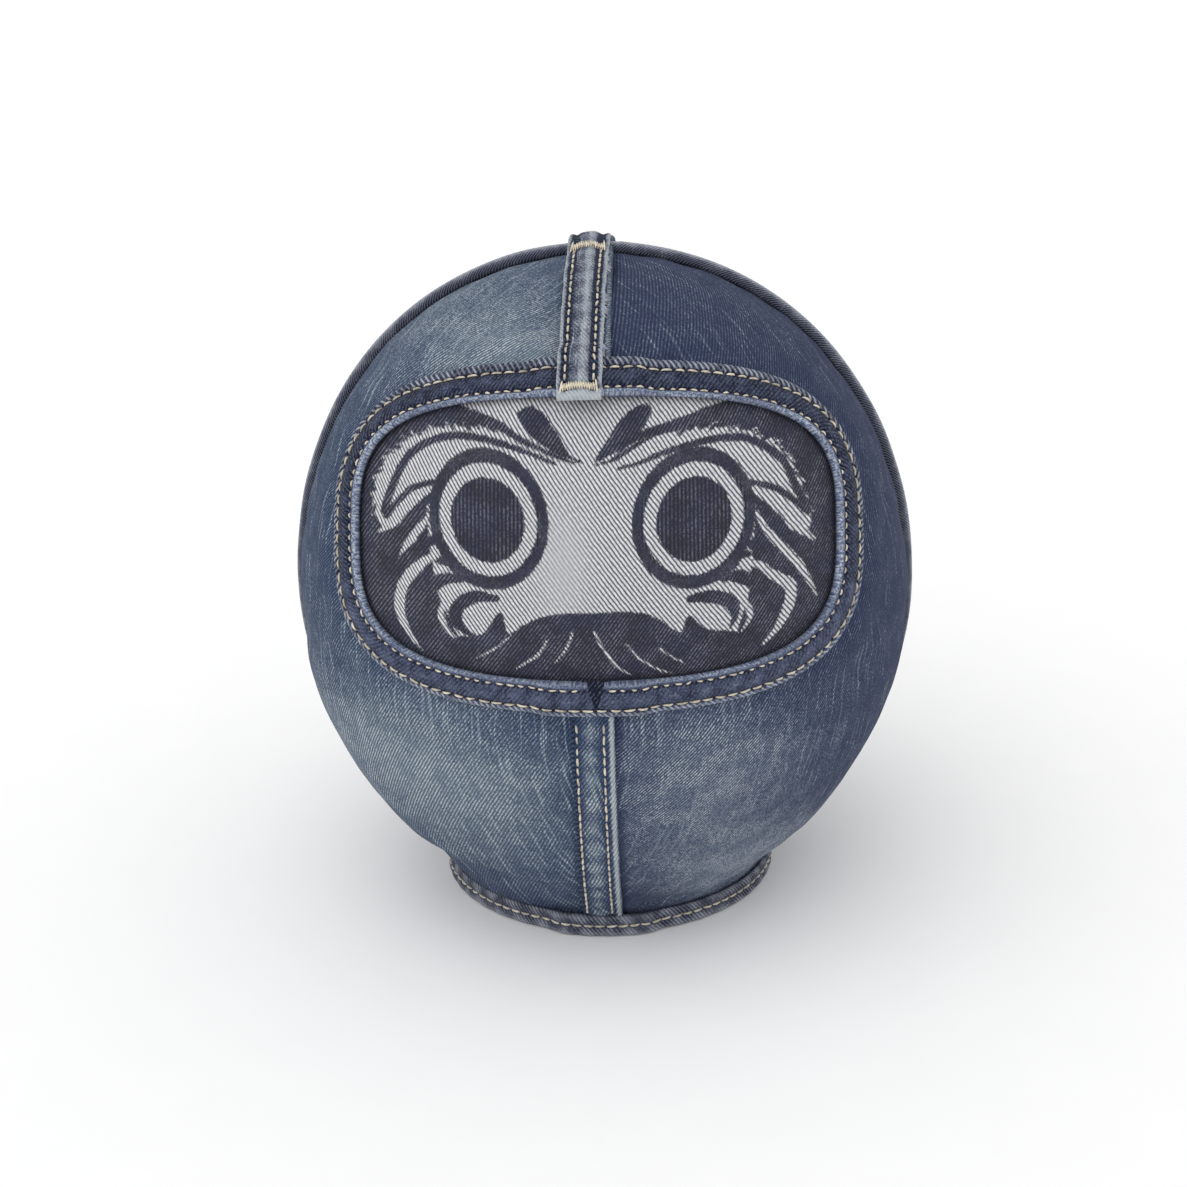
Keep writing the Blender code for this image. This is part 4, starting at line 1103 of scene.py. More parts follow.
# Width of each brush stroke, and its shares of that at the start and end
BRUSHES = {"under_leaf": (1.1, 0.8, 0.3), "lid": (1.7, 0.4, 1.3), "lid_back": (1.5, 1.4, 0.8),
           "crease": (2.2, 0.8, 0.3)}
WHITE_WIDTHS = (2.6, 2.0, 2.8, 1.6, 2.8)
DARK_WIDTHS = (2.9, 2.6, 3.6, 3.4)
MOUSTACHE = [(-22.6, 104.5), (-20.8, 99.5), (-17.5, 101.5), (-14, 103.4), (-9.5, 104.7), (-5, 105.1),
             (0.5, 105.2), (6, 105.3), (11, 104.8), (15, 103.2), (18.2, 100.6), (20.6, 99.6),
             (22.4, 103.2), (26.5, 99.5), (34, 97.4), (40, 93), (44, 80), (0, 78), (-44, 80),
             (-40, 92.5), (-33.5, 96.8), (-27, 98.8)]
HAIRS = [[(-11.5, 98.2), (-13.9, 94.6), (-19, 90.8)], [(-5.3, 100.8), (-6.8, 96.6), (-9.8, 92.8)],
         [(-0.2, 100.6), (2, 96.2), (5.1, 91.9), (8.6, 89.5)],
         [(7, 97.4), (11, 93.3), (14.6, 90.8), (18.2, 89.2)], [(15.1, 96), (18.3, 93.5), (21.2, 91.5)],
         [(-20.1, 99), (-24.3, 95.2), (-29, 92.2)]]
HAIR_WIDTHS = (0.58, 0.42, 0.66, 0.45, 0.38, 0.38)


def side_print(dye, side, shapes):
    """One side of the face: brow, lids, cheek strokes and eye."""
    dye.area(shapes["outer"])
    for corners, width in zip(shapes["white"], WHITE_WIDTHS):
        dye.stroke(corners, width, 0.4, 0.15, dark=False)
    fringe = shapes["outer"][16:24]
    dye.tufts(fringe, 17, 1.9, 0.7, -side * math.cos(0.95), -math.sin(0.95), dark=False)
    dye.tufts(fringe, 15, 1.4, 0.8, side * math.cos(0.95), math.sin(0.95))
    for corners, width in zip(shapes["dark"], DARK_WIDTHS):
        dye.stroke(corners, width, 0.5, 0.1)
    dye.area(shapes["leaf"])
    for part, brush in BRUSHES.items():
        dye.stroke(shapes[part], *brush)
    dye.round_patch(*EYES[side], DARK_RING_WIDE, DARK_RING_TALL)
    dye.round_patch(*EYES[side], WHITE_RING, WHITE_RING + 0.3, dark=False)
    dye.round_patch(*EYES[side], PUPIL, PUPIL + 0.2)


def face_print(x, z):
    """The dye's depth at each place of the face cloth, in millimetres."""
    dye = Print(x, z)
    side_print(dye, LEFT, LEFT_SIDE)
    side_print(dye, RIGHT, RIGHT_SIDE)
    dye.area(MOUSTACHE)
    for corners, width in zip(HAIRS, HAIR_WIDTHS):
        dye.stroke(corners, width, 0.7, 0.3, dark=False)
    return dye.depth


def pupil_share(x, z):
    """1 on the pupils and their dark rings, where the dyed ribs stand upright."""
    near = [np.hypot(x - middle, z - level) for middle, level in EYES.values()]
    return smooth_step((16.0 - np.minimum(*near)) / 3.0)


def pale_nose(x, z):
    """Between the eyes the white lines are finer and greyer."""
    return bump_at(x, -7.5, 6.0) * bump_at(z, 116.0, 12.0)


# ---------------------------------------------------------------- face and window band

def face_points():
    """Grid over the face cloth: (x, level) of each point, filling the window and a hidden margin."""
    wide = WINDOW_HALF_WIDTH + FACE_MARGIN
    tall = WINDOW_HALF_HEIGHT + FACE_MARGIN
    x = np.linspace(-wide, wide, math.ceil(2.0 * wide / FACE_PITCH))
    z = WINDOW_Z + np.linspace(-tall, tall, math.ceil(2.0 * tall / FACE_PITCH))
    return np.meshgrid(x, z)


def face_height(x, z):
    """Height of the face cloth: sunk at the lip, pushed out by the stuffing in the middle."""
    across = np.abs(x) / WINDOW_HALF_WIDTH
    power = np.where(z >= WINDOW_Z, WINDOW_POWER_TOP, WINDOW_POWER_BOTTOM)
    share = across ** power + (np.abs(z - WINDOW_Z) / WINDOW_HALF_HEIGHT) ** power
    puff = np.clip(1.0 - share, 0.0, 1.0) ** 0.5
    place = np.stack([x, z], -1)
    waves = 0.10 * MM * wave_noise(place, 26.0 * MM, 21, 2) * puff
    return -FACE_DEPTH + FACE_BULGE * puff + waves


def face_cloth(name):
    """The denim's pale reverse, with fine blue lines, and dark dye where the mesh's dye value is above 0."""
    graph = Graph(name)
    across, along, place = graph.cloth_place()
    line, thread, crossing = twill(graph, across, along, lean=-1.0, wobble=0.5)
    speck = graph.noise(place, 1.3, 3.0, 0.7)
    nose, upright = graph.attribute("nose"), graph.attribute("upright")
    hair_place = graph.vector((across + along * 0.6) * 2.3, along * 0.45)
    edge = graph.attribute("dye") + (graph.noise(hair_place, 1.0, 2.0, 0.7) - 0.5) * 1.1
    dyed = graph.ramp(edge + (crossing - 0.5) * 0.35, -0.22, 0.22)
    white = graph.mix(graph.ramp(speck, 0.3, 0.7), linear(192, 192, 195), linear(231, 230, 228))
    white = graph.mix(nose * 0.7, white, linear(184, 187, 190))
    blue = graph.mix(speck, linear(62, 66, 84), linear(98, 103, 120))
    pale = graph.mix(graph.ramp(line, 0.14, 0.62) * (0.94 - nose * 0.55), white, blue)
    leaning = across - along * 0.75
    rib_place = (across - leaning) * upright + leaning
    rib = graph.math("ABSOLUTE", graph.math("SINE", rib_place * (math.pi / 0.95)))
    rib = graph.ramp(rib, 0.55, 1.0) * graph.ramp(crossing, 0.2, 1.0, 0.15, 0.75)
    rib = rib * graph.ramp(graph.noise(place, 0.14), 0.38, 0.62, 0.45, 1.2) * (1.0 - upright * 0.3)
    ink = graph.mix(speck, linear(34, 33, 43), linear(60, 60, 72))
    ink = graph.mix(graph.ramp(graph.noise(place, 0.09), 0.4, 0.65, 0.0, 0.22), ink, linear(52, 60, 88))
    ink = graph.mix(rib, ink, linear(122, 125, 138))
    # Painted shade in the grooves between the lengthwise threads.
    colour = graph.shaded(graph.mix(dyed, pale, ink), thread * 0.14 + 0.90)
    height = thread * 0.35 - line * 0.9 + crossing * 0.3
    return graph.finish(colour, height, 0.13, 0.8, 0.9, 0.03)


def build_face():
    x, z = face_points()
    points = skin(np.arcsin(np.clip(x / half_width(z), -1.0, 1.0)), z, face_height(x, z))
    keep = all_corners(inside_outline(x, z, window_ring(FACE_MARGIN * 0.6)))
    x, z = x / MM, z / MM
    values = {"across": x, "along": z, "dye": face_print(x, z), "upright": pupil_share(x, z),
              "nose": pale_nose(x, z)}
    mesh = grid_mesh("face_cloth", points, values, keep=keep)
    face_outwards(mesh)
    dress(mesh, face_cloth("denim_reverse"), "denim_reverse", "face_panel")


BAND_STATIONS = 640
# Section of the band as (distance from the lip, height, wear and painted shade), from its tucked edge over
# the rolled lip.
# The third value drops below 0 for painted shade in the dips at the two stitch rows and under the outer roll.
BAND_SECTION = [
    (2.6, -0.95, 0.0), (1.2, -1.15, 0.0), (0.35, -1.05, 0.1), (-0.10, -0.55, 0.5), (-0.22, 0.05, 0.9),
    (-0.10, 0.60, 1.0), (0.20, 0.98, 1.0), (0.60, 1.22, 0.9), (1.05, 1.26, 0.7), (1.45, 1.15, 0.2),
    (1.85, 1.02, -0.4), (2.2, 1.14, -0.3), (2.6, 1.45, 0.1), (3.1, 1.66, 0.1), (3.7, 1.76, 0.15),
    (4.3, 1.78, 0.2), (5.0, 1.74, 0.15), (5.6, 1.62, 0.1), (6.2, 1.40, 0.0), (6.55, 1.18, -0.3),
    (6.85, 1.08, -0.4), (7.15, 1.20, -0.1), (7.5, 1.50, 0.2), (7.95, 1.68, 0.35), (8.4, 1.60, 0.35),
    (8.75, 1.25, 0.2), (8.95, 0.75, 0.0), (8.9, 0.34, -0.2), (7.0, 0.30, 0.0), (4.5, 0.30, 0.0),
]
BAND_ROWS = {"inner": 1.85, "outer": 6.85}
# Widths of the lip and of the outer roll at the window's sides, top and bottom, as shares of the section's
SIDE_SHARES, TOP_SHARES, BOTTOM_SHARES = (1.0, 0.8), (0.58, 1.42), (0.66, 0.75)
BETWEEN_ROWS_SIDE = 1.08
BAND_RIPPLE_MM = 0.08
# Stitches of each row in millimetres: height, length, gap, thread radius; and the share of the lip left bare
WINDOW_ROWS = {"inner": (1.22, 1.55, 1.15, 0.24, 0.004), "outer": (1.30, 2.5, 0.75, 0.27, 0.0)}


def band_away(turn, section_mm):
    """Distance from the lip of a place in the band's section, which changes width round the window."""
    upright = np.abs(unit(lip_direction(turn))[..., 2]) ** 2
    level = smooth_step((lip_at(turn)[..., 2] - WINDOW_Z) / (1.6 * WINDOW_HALF_HEIGHT) + 0.5)
    lip_share, roll_share = (side * upright + (top * level + bottom * (1.0 - level)) * (1.0 - upright)
                             for side, top, bottom in zip(SIDE_SHARES, TOP_SHARES, BOTTOM_SHARES))
    inner, outer = BAND_ROWS["inner"], BAND_ROWS["outer"]
    between = np.clip(section_mm - inner, 0.0, outer - inner) * (1.0 + (BETWEEN_ROWS_SIDE - 1.0) * upright)
    lip = np.minimum(section_mm, inner) * lip_share
    return (lip + between + np.maximum(section_mm - outer, 0.0) * roll_share) * MM


def band_turn(share, away):
    """Turn round the lip, leaving a notch at the bottom middle that is widest at the lip."""
    notch = BAND_END_GAP + BAND_NOTCH * (1.0 - np.clip(away / (0.65 * BAND_WIDTH), 0.0, 1.0))
    trim = notch / LIP_LENGTH
    return trim + share * (1.0 - 2.0 * trim)


def lap_lift(points):
    """How far a piece here is raised by the lapped centre seam under it."""
    return LAP_LIFT * seam_crossing(points[..., 0])


def band_rope(turn, section_mm):
    """Slanting ripples where the two stitch rows pull the band, between about -1 and 1."""
    run = turn * LIP_LENGTH / MM
    wander = 1.6 * np.sin(run / 19.0) + 0.9 * np.sin(run / 7.3 + 1.0)
    slanted = np.sin((run + 0.8 * section_mm) * 2.0 * math.pi / 7.0 + wander)
    overcast = np.sin((run - 0.9 * section_mm) * 2.0 * math.pi / 1.4)
    return slanted * bump_at(section_mm, 4.4, 2.0) + 0.875 * overcast * bump_at(section_mm, 8.2, 0.7)


def band_cloth(name):
    """Dark marbled indigo with a pale rolled lip, worn specks and an outer edge of slanting white dashes."""
    graph = Graph(name)
    across, along, place = graph.cloth_place()
    line, thread, crossing = twill(graph, along, across, lean=-1.0)
    stain = graph.noise(place, 0.34, 4.0, 0.62)
    speck = graph.noise(place, 1.7, 3.0, 0.75)
    # worn holds the band's wear and the painted shade at its stitch rows.
    worn = graph.attribute("fade_and_shade")
    fade_and_shade = graph.ramp(worn + (stain - 0.5) * 1.8 + (speck - 0.5) * 2.2, -0.3, 1.2)
    colour = graph.mix(fade_and_shade, linear(24, 28, 45), linear(82, 91, 117))
    lip_colour = graph.mix(graph.ramp(speck, 0.42, 0.62), linear(78, 92, 124), linear(196, 205, 216))
    bright = graph.ramp(graph.noise(graph.vector(along * 0.05, 0.0), 1.0), 0.35, 0.6, 0.45, 1.0)
    colour = graph.mix(graph.ramp(worn, 0.45, 1.0) * bright, colour, lip_colour)
    weft = line * graph.ramp(crossing, 0.2, 1.0, 0.02, 0.32)
    colour = graph.mix(weft, colour, linear(140, 146, 164))
    dash = graph.stripes(along - across * 0.9, 1.4, 0.12, 0.26)
    outer = graph.ramp(across, 7.1, 7.5) * dash * graph.ramp(stain, 0.35, 0.62, 0.15, 0.7)
    colour = graph.mix(outer, colour, linear(190, 194, 200))
    height = line * 0.6 + outer * 1.5 + crossing * 0.5 + stain * 2.0
    # Painted shade in the grooves between the lengthwise threads.
    return graph.finish(graph.shaded(colour, thread * 0.2 + 0.88), height, 0.14, 0.8, 0.88, 0.03)


def band_wear(points):
    """Extra wear of the band: more along the bottom and to the right."""
    low = smooth_step((WINDOW_Z - 8.0 * MM - points[..., 2]) / (16.0 * MM))
    return 0.30 * low + 0.03 * np.clip(points[..., 0] / WINDOW_HALF_WIDTH, -1.0, 1.0)


def build_band():
    share = np.linspace(0.0, 1.0, BAND_STATIONS)[:, None]
    place, level, wear_and_shade = np.array(BAND_SECTION).T[:, None]
    place = place + 0.0 * share
    away = band_away(share, place)
    turn = band_turn(share, away)
    top = smooth_step((level + 0.6) / 1.2)
    ends = np.minimum(share, 1.0 - share) * LIP_LENGTH
    settle = 1.0 - 0.35 * bump_at(ends, 0.0, 0.9 * MM)
    rope = band_rope(turn, place)
    height = (level * settle + BAND_RIPPLE_MM * rope * top) * MM + lap_lift(window_point(turn, away)) * top
    points = window_point(turn, away, height)
    on_lip = smooth_step((wear_and_shade - 0.4) / 0.3)
    fade_and_shade = wear_and_shade + 0.10 * rope * top + band_wear(points) * (1.0 - 1.7 * on_lip)
    values = {"across": place, "along": turn * LIP_LENGTH / MM, "fade_and_shade": fade_and_shade}
    mesh = tube_mesh("window_band_cloth", points, values)
    cloth = band_cloth("denim_band")
    dress(mesh, cloth, "denim_band", "window_band")
    build_band_gusset(cloth)


def build_band_gusset(cloth):
    """Dark folded ends of the band, which fill the notch at the bottom middle."""
    section, beside = np.meshgrid(np.linspace(-0.4, 8.2, 30), np.linspace(-3.4, 3.4, 36), indexing="ij")
    turn = beside * MM / LIP_LENGTH
    fold = 0.35 * np.abs(beside / 3.4) ** 0.7
    height = (0.35 + 0.5 * smooth_step(section / 3.0) + fold - 0.9 * smooth_step(-section / 0.5 + 0.3)) * MM
    height += LAP_LIFT * smooth_step((section - 0.5) / 2.5)
    points = window_point(turn, band_away(turn, section), height)
    mesh = grid_mesh("window_band_gusset", points, {"across": section, "along": beside, "fade_and_shade": -0.75})
    face_outwards(mesh)
    thicken(dress(mesh, cloth, "denim_band"), 0.3 * MM)


def build_window_rows():
    for number, (side, section_mm) in enumerate(BAND_ROWS.items()):
        height, length, gap, radius, first = WINDOW_ROWS[side]
        share = np.linspace(first, 1.0 - first, 1200)
        away = band_away(share, np.full(share.shape, section_mm))
        turn = band_turn(share, away)
        path = window_point(turn, away, height * MM + lap_lift(window_point(turn, away)))
        sew(f"window_stitch_{side}", path, 31 + number, None, length * MM, gap * MM, radius * MM)


# ---------------------------------------------------------------- centre seams

def build_seam_rows():
    """Rows along the strip's channels, front and back, from the crown side down to the hem."""
    below_band = float(run_to_level(window_point(0.0, BAND_WIDTH)[2])) + 1.0 * MM
    above_hem = float(run_to_level(HEM_TOP_Z + 1.5 * MM))
    seed = 41
    for face, facing, start in (("front", FRONT, below_band), ("back", BACK, LOOP_TAIL + 2.5 * MM)):
        runs = np.linspace(start, above_hem, math.ceil((above_hem - start) / (1.0 * MM)))
        for side, x in SEAM_ROWS_X.items():
            height = strip_profile(x, runs) + 0.5 * THREAD_RADIUS
            sew(f"{face}_seam_stitch_{side}", beside_centre(runs, x, height, facing), seed)
            seed += 1


# ---------------------------------------------------------------- piping

def side_line(spacing):
    """Line of the side seam at the piping's middle, from base to base over the crown, with up directions."""
    turns = np.linspace(0.0, 0.5 * math.pi, 400)
    upper = WIDEST_Z + (BODY_TOP - WIDEST_Z) * np.sin(turns) ** (2.0 / CROWN_POWER)
    lower = np.linspace(PIPING_END_Z, WIDEST_Z, 200)[:-1]
    levels = np.concatenate([lower, upper, upper[-2::-1], lower[::-1]])
    angle = np.where(np.arange(len(levels)) < len(levels) / 2, -0.5 * math.pi, 0.5 * math.pi)
    upright = np.array([1.0, 0.0, 1.0])
    path = skin(angle, levels, BEAD_HEIGHT) * upright
    return resample(path, unit(skin_normal(angle, levels) * upright), spacing)


PIPING_SIDES = 18
CORD_SIDES = 10


def build_piping():
    path, ups, runs = side_line(0.7 * MM)
    run = runs[:, None]
    turn = circle(PIPING_SIDES)
    strand = np.sin(2.0 * math.pi * run / (1.7 * MM) + turn)
    uneven = 0.05 * np.sin(run / (6.0 * MM) + 2.0 * np.sin(run / (17.0 * MM)))
    section = round_section(turn, BEAD_RADIUS * (1.0 + 0.02 * strand + uneven))
    section[..., 1] = np.where(np.cos(turn) < -0.55, -BEAD_HEIGHT - 0.6 * MM, section[..., 1])
    around = np.abs(np.mod(turn + math.pi, 2.0 * math.pi) - math.pi)
    values = {"across": BEAD_RADIUS * around / MM, "along": run / MM,
              "fade_and_shade": 0.75 * bump_at(around, 0.0, 0.85)}
    mesh = swept("piping_cover_cloth", path, ups, section, values)
    dress(mesh, piping_cloth("denim_piping"), "denim_piping", "piping_cover")
    turn = circle(CORD_SIDES)
    strands = 1.0 + 0.16 * np.cos(3.0 * (turn - 2.0 * math.pi * run[1:-1] / (5.0 * MM)))
    section = round_section(turn, 0.55 * BEAD_RADIUS * strands)
    mesh = swept("piping_cord_twist", path[1:-1], ups[1:-1], section, {"shade": 0.3})
    dress(mesh, cotton("cotton_cord"), "cotton_cord", "piping_cord")


def piping_cloth(name):
    """Dark indigo wrapped slantwise round the cord, with pale ticks on its worn crest."""
    graph = Graph(name)
    across, along, place = graph.cloth_place()
    tick = graph.stripes(along + across * 1.1, 0.85, 0.14, 0.34)
    patch = graph.noise(place, 0.28, 3.0, 0.6)
    speck = graph.noise(place, 1.9, 2.0, 0.7)
    worn = graph.attribute("fade_and_shade") + (patch - 0.5) + (speck - 0.5) * 0.8
    colour = graph.mix(graph.ramp(worn, -0.1, 0.9), linear(46, 52, 74), linear(146, 152, 164))
    colour = graph.mix(tick * graph.ramp(worn, 0.0, 0.8, 0.3, 0.8), colour, linear(178, 180, 188))
    return graph.finish(colour, tick * 1.2 + speck, 0.16, 0.85, 0.9, 0.03)


def cotton(name, shade=(212, 206, 190), dirt=(170, 160, 138)):
    """Undyed cotton with fine fibres."""
    graph = Graph(name)
    place = graph.object_place()
    fibre = graph.noise(place, 2600.0, 3.0, 0.7)
    colour = graph.mix(graph.ramp(graph.noise(place, 160.0, 3.0), 0.35, 0.7), linear(*shade), linear(*dirt))
    return graph.finish(graph.shaded(colour, fibre * 0.35 + 0.8), fibre, 0.15, 0.7, 0.9, 0.25)


# ---------------------------------------------------------------- belt loop

# Section of the loop as (x from its middle, height, wear and painted shade) in millimetres; the third value
# drops below 0 for painted shade in the channels of the two stitch rows.
LOOP_SECTION = [
    (-4.95, 0.05, 0.1), (-5.05, 0.55, 0.7), (-4.95, 1.05, 1.0), (-4.6, 1.25, 0.8), (-4.2, 1.22, 0.4),
    (-3.75, 1.02, -0.8), (-3.2, 0.86, -1.4), (-2.75, 1.05, -0.9), (-2.2, 1.42, 0.10), (-1.4, 1.60, 0.26),
    (-0.6, 1.70, 0.34), (0.0, 1.76, 0.50), (0.5, 1.80, 0.80), (1.1, 1.74, 0.76), (1.9, 1.50, 0.36),
    (2.65, 1.05, -1.0), (3.2, 0.86, -1.4), (3.75, 1.02, -0.8), (4.2, 1.22, 0.4), (4.6, 1.25, 0.9),
    (4.95, 1.05, 1.4), (5.05, 0.55, 1.3), (4.95, 0.05, 0.4), (2.7, 0.0, 0.0), (0.0, 0.0, 0.0),
    (-2.7, 0.0, 0.0),
]


def loop_run_front():
    return float(run_to_level(LOOP_FRONT_Z))


def loop_middle(run):
    """X of the loop's middle: it leans slightly on its way back over the crown."""
    share = (loop_run_front() - run) / (loop_run_front() + LOOP_TAIL)
    return LOOP_FRONT_X + (LOOP_BACK_X - LOOP_FRONT_X) * share


def loop_base_height(run):
    """Height of the loop's underside: over the band, along the seam, over the piping, and down."""
    band_top = float(run_to_level(window_point(0.5, BAND_WIDTH)[2]))
    over_band = LAP_LIFT + BAND_TOP + 2.0 * GAP
    over_seam = LAP_LIFT + 1.5 * GAP
    over_piping = BEAD_HEIGHT + BEAD_RADIUS + 1.0 * GAP
    runs = [-LOOP_TAIL, -2.6 * MM, 2.6 * MM, 7.0 * MM, band_top - 3.0 * MM, band_top - 0.5 * MM]
    heights = [over_seam, over_piping, over_piping, over_seam, over_seam, over_band]
    return np.interp(run, runs, heights)


def loop_point(run, x, height):
    """Point on the loop: x from its middle, height above its underside."""
    run, x, height = np.broadcast_arrays(run, x, height)
    return beside_centre(run, loop_middle(run) + x, loop_base_height(run) + height)


def build_belt_loop():
    front = loop_run_front()
    run = np.linspace(-LOOP_TAIL, front, 190)[:, None]
    x, level, wear_and_shade = np.array(LOOP_SECTION).T[:, None]
    x = x * MM
    ends = np.minimum(run + LOOP_TAIL, front - run)
    rounded = np.sqrt(np.clip(1.0 - np.clip(1.0 - ends / (0.9 * MM), 0.0, 1.0) ** 2, 0.02, 1.0))
    rope = np.sin(2.0 * math.pi * run / (5.4 * MM) + 0.4 * np.sin(run / (8.0 * MM)))
    upper = smooth_step(level / 0.9)
    edge_wave = 1.0 + 0.012 * np.sin(run / (2.6 * MM)) + 0.01 * np.sin(run / (1.1 * MM) + x / MM)
    points = loop_point(run, x * edge_wave, (level + 0.07 * rope * upper) * MM * rounded)
    window_bartack = front - BARTACK_END_DISTANCE
    bartacks = bump_at(run, BARTACK_CROWN_RUN, 1.3 * MM) + bump_at(run, window_bartack, 1.3 * MM)
    outer_end = bump_at(run, front, 2.0 * MM) + bump_at(run, -LOOP_TAIL, 2.0 * MM)
    tail = smooth_step((run - window_bartack - 0.6 * MM) / (0.7 * MM))
    # dye is the section's wear and painted shade, raised so that the folded end beyond the window bartack is
    # pale.
    dye = np.maximum(wear_and_shade, -1.4 + 2.0 * tail)
    fade_and_shade = dye * (1.0 - 0.5 * bartacks) + 0.6 * outer_end + 0.5 * tail + 0.12 * rope
    ladder = bump_at(np.abs(x), LOOP_ROW_X, 0.95 * MM) * upper * (1.0 - tail)
    values = {"across": x / MM, "along": run / MM, "fade_and_shade": fade_and_shade, "ladder": ladder}
    mesh = tube_mesh("belt_loop_cloth", points, values)
    cloth = denim("denim_pale", linear(44, 51, 72), linear(160, 168, 179), 0.5, 0.7, 0.3, 0.12)
    dress(mesh, cloth, "denim_pale", "belt_loop")
    build_bartack("bartack_crown", BARTACK_CROWN_RUN, 51)
    build_bartack("bartack_window", window_bartack, 52)
    build_loop_rows()
    build_fray()


def loop_surface(x):
    """Height of the loop's upper face across its width, from its section."""
    section = np.array(LOOP_SECTION[1:22])
    return np.interp(x / MM, section[:, 0], section[:, 1]) * MM


def build_bartack(name, run, seed):
    """Bar of dense zigzag stitches across the loop."""
    random = np.random.default_rng(seed)
    reach = LOOP_ROW_X + 0.7 * MM
    share = np.linspace(-1.0, 1.0, STITCH_STATIONS)
    paths = []
    for number, x in enumerate(np.linspace(-reach, reach, BARTACK_STITCHES)):
        lean = 0.22 * MM * (1 if number % 2 else -1)
        at_ends = abs(x / reach) ** 12
        length = BARTACK_HALF_LENGTH[name] * (0.62 + 0.5 * at_ends) * random.uniform(0.9, 1.12)
        offset = random.normal(0.0, 0.05) * MM
        arch = 0.30 * MM * np.cos(0.5 * math.pi * share) + 0.16 * MM * (number % 2)
        paths.append(loop_point(run + offset + share * length, x + lean * share, loop_surface(x) + arch))
    mesh = thin_threads(f"{name}_thread", paths, 0.23 * MM, random.uniform(0.0, 0.8, BARTACK_STITCHES))
    dress(mesh, THREAD, "thread_cream", name)


def build_loop_rows():
    crown_clear, window_clear = (0.7 * length for length in BARTACK_HALF_LENGTH.values())
    end = loop_run_front() - BARTACK_END_DISTANCE - window_clear
    runs = np.linspace(BARTACK_CROWN_RUN + crown_clear, end, 120)
    for seed, side, x in ((55, "left", -LOOP_ROW_X), (56, "right", LOOP_ROW_X)):
        path = loop_point(runs, x, loop_surface(x) + 0.35 * THREAD_RADIUS)
        sew(f"loop_stitch_{side}", path, seed, None, LOOP_STITCH, LOOP_STITCH_GAP)


def build_fray():
    """White cross threads that stand out of the loop's worn right edge."""
    random = np.random.default_rng(61)
    share = np.linspace(0.0, 1.0, STITCH_STATIONS)
    paths = []
    for run in np.sort(random.uniform(8.0 * MM, loop_run_front() - 2.0 * MM, FRAY_THREADS)):
        tuft = 0.6 + 0.45 * math.sin(run / (2.3 * MM)) + 0.35 * math.sin(run / (0.9 * MM))
        length = random.uniform(0.5, 1.2) * max(tuft, 0.15) * MM
        drift = random.normal(0.0, 0.35) * MM
        drop = (0.8 - 0.6 * share ** 2 + random.uniform(-0.2, 0.2)) * MM
        paths.append(loop_point(run + drift * share ** 2, 4.7 * MM + length * share, drop))
    mesh = thin_threads("belt_loop_fray", paths, 0.085 * MM, random.uniform(0.0, 0.5, FRAY_THREADS))
    dress(mesh, cotton("white_fray", (196, 200, 210), (140, 148, 168)), "denim_pale")


# ---------------------------------------------------------------- base

HEM_STATIONS = 560
# Section of the hem as (offset from the neck, level, wear and painted shade), round the U from inside to
# outside
# The third value drops below 0 for painted shade in the dip at the stitch row and on the inner side of the
# outer layer.
HEM_SECTION = [
    (-2.7, 4.5, 0.0), (-2.7, 1.2, 0.0), (-2.4, 0.35, 0.0), (-1.6, 0.02, 0.1), (0.2, 0.0, 0.3),
    (1.0, 0.12, 0.5), (1.55, 0.55, 0.6), (1.78, 1.2, 0.5), (1.84, 1.9, 0.2), (1.72, 2.6, 0.05),
    (1.52, 3.15, -0.4), (1.46, 3.4, -0.5), (1.52, 3.65, -0.4), (1.70, 4.2, 0.0), (1.74, 4.9, 0.1),
    (1.62, 5.5, 0.25), (1.3, 5.92, 0.4), (0.85, 6.0, 0.3), (0.5, 5.7, 0.0), (0.36, 5.0, -0.2),
    (0.34, 1.5, -0.2), (-1.5, 1.35, 0.0), (-1.6, 4.7, 0.0), (-2.1, 4.85, 0.0),
]


def neck_point(angle, offset, z):
    """Point beside the upright neck of the body, offset outwards from it."""
    angle, offset, z = np.broadcast_arrays(angle, offset, z)
    points = skin(angle, NECK_Z, offset)
    points[..., 2] = z
    return points


def hem_lift(angle):
    """Extra width of the hem where it covers a lapped centre seam."""
    return lap_lift(skin(angle, NECK_Z))


def build_hem(cloth):
    section = np.array(HEM_SECTION)
    offset, level, wear_and_shade = section.T[:, None]
    turn = np.linspace(0.0, 2.0 * math.pi, HEM_STATIONS + 1)[:, None]
    angle = np.mod(turn, 2.0 * math.pi)
    outer = smooth_step((offset - 0.3) / 0.9)
    rope = np.sin(angle * 44.0 + 1.1 * np.sin(angle * 5.0) + level * 0.55)
    height = np.maximum(level + 0.10 * rope * smooth_step((level - 4.0) / 2.0) * outer, 0.0) * MM
    points = neck_point(angle, offset * MM + (0.09 * MM * rope + hem_lift(angle)) * outer, height)
    values = {"across": turn * NECK_HALF_WIDTH / MM, "along": distances(section[:, :2]),
              "fade_and_shade": wear_and_shade + 0.25 * rope * outer}
    mesh = grid_mesh("base_hem_cloth", points, values, closed=True)
    dress(mesh, cloth, "denim_hem", "base_hem")
    angle = np.linspace(0.0, 2.0 * math.pi, 900)
    path = neck_point(angle, 1.60 * MM + hem_lift(angle), 3.4 * MM)
    sew("hem_stitch", path, 71, unit(path * np.array([1.0, 1.0 / DEPTH_RATIO ** 2, 0.0])))


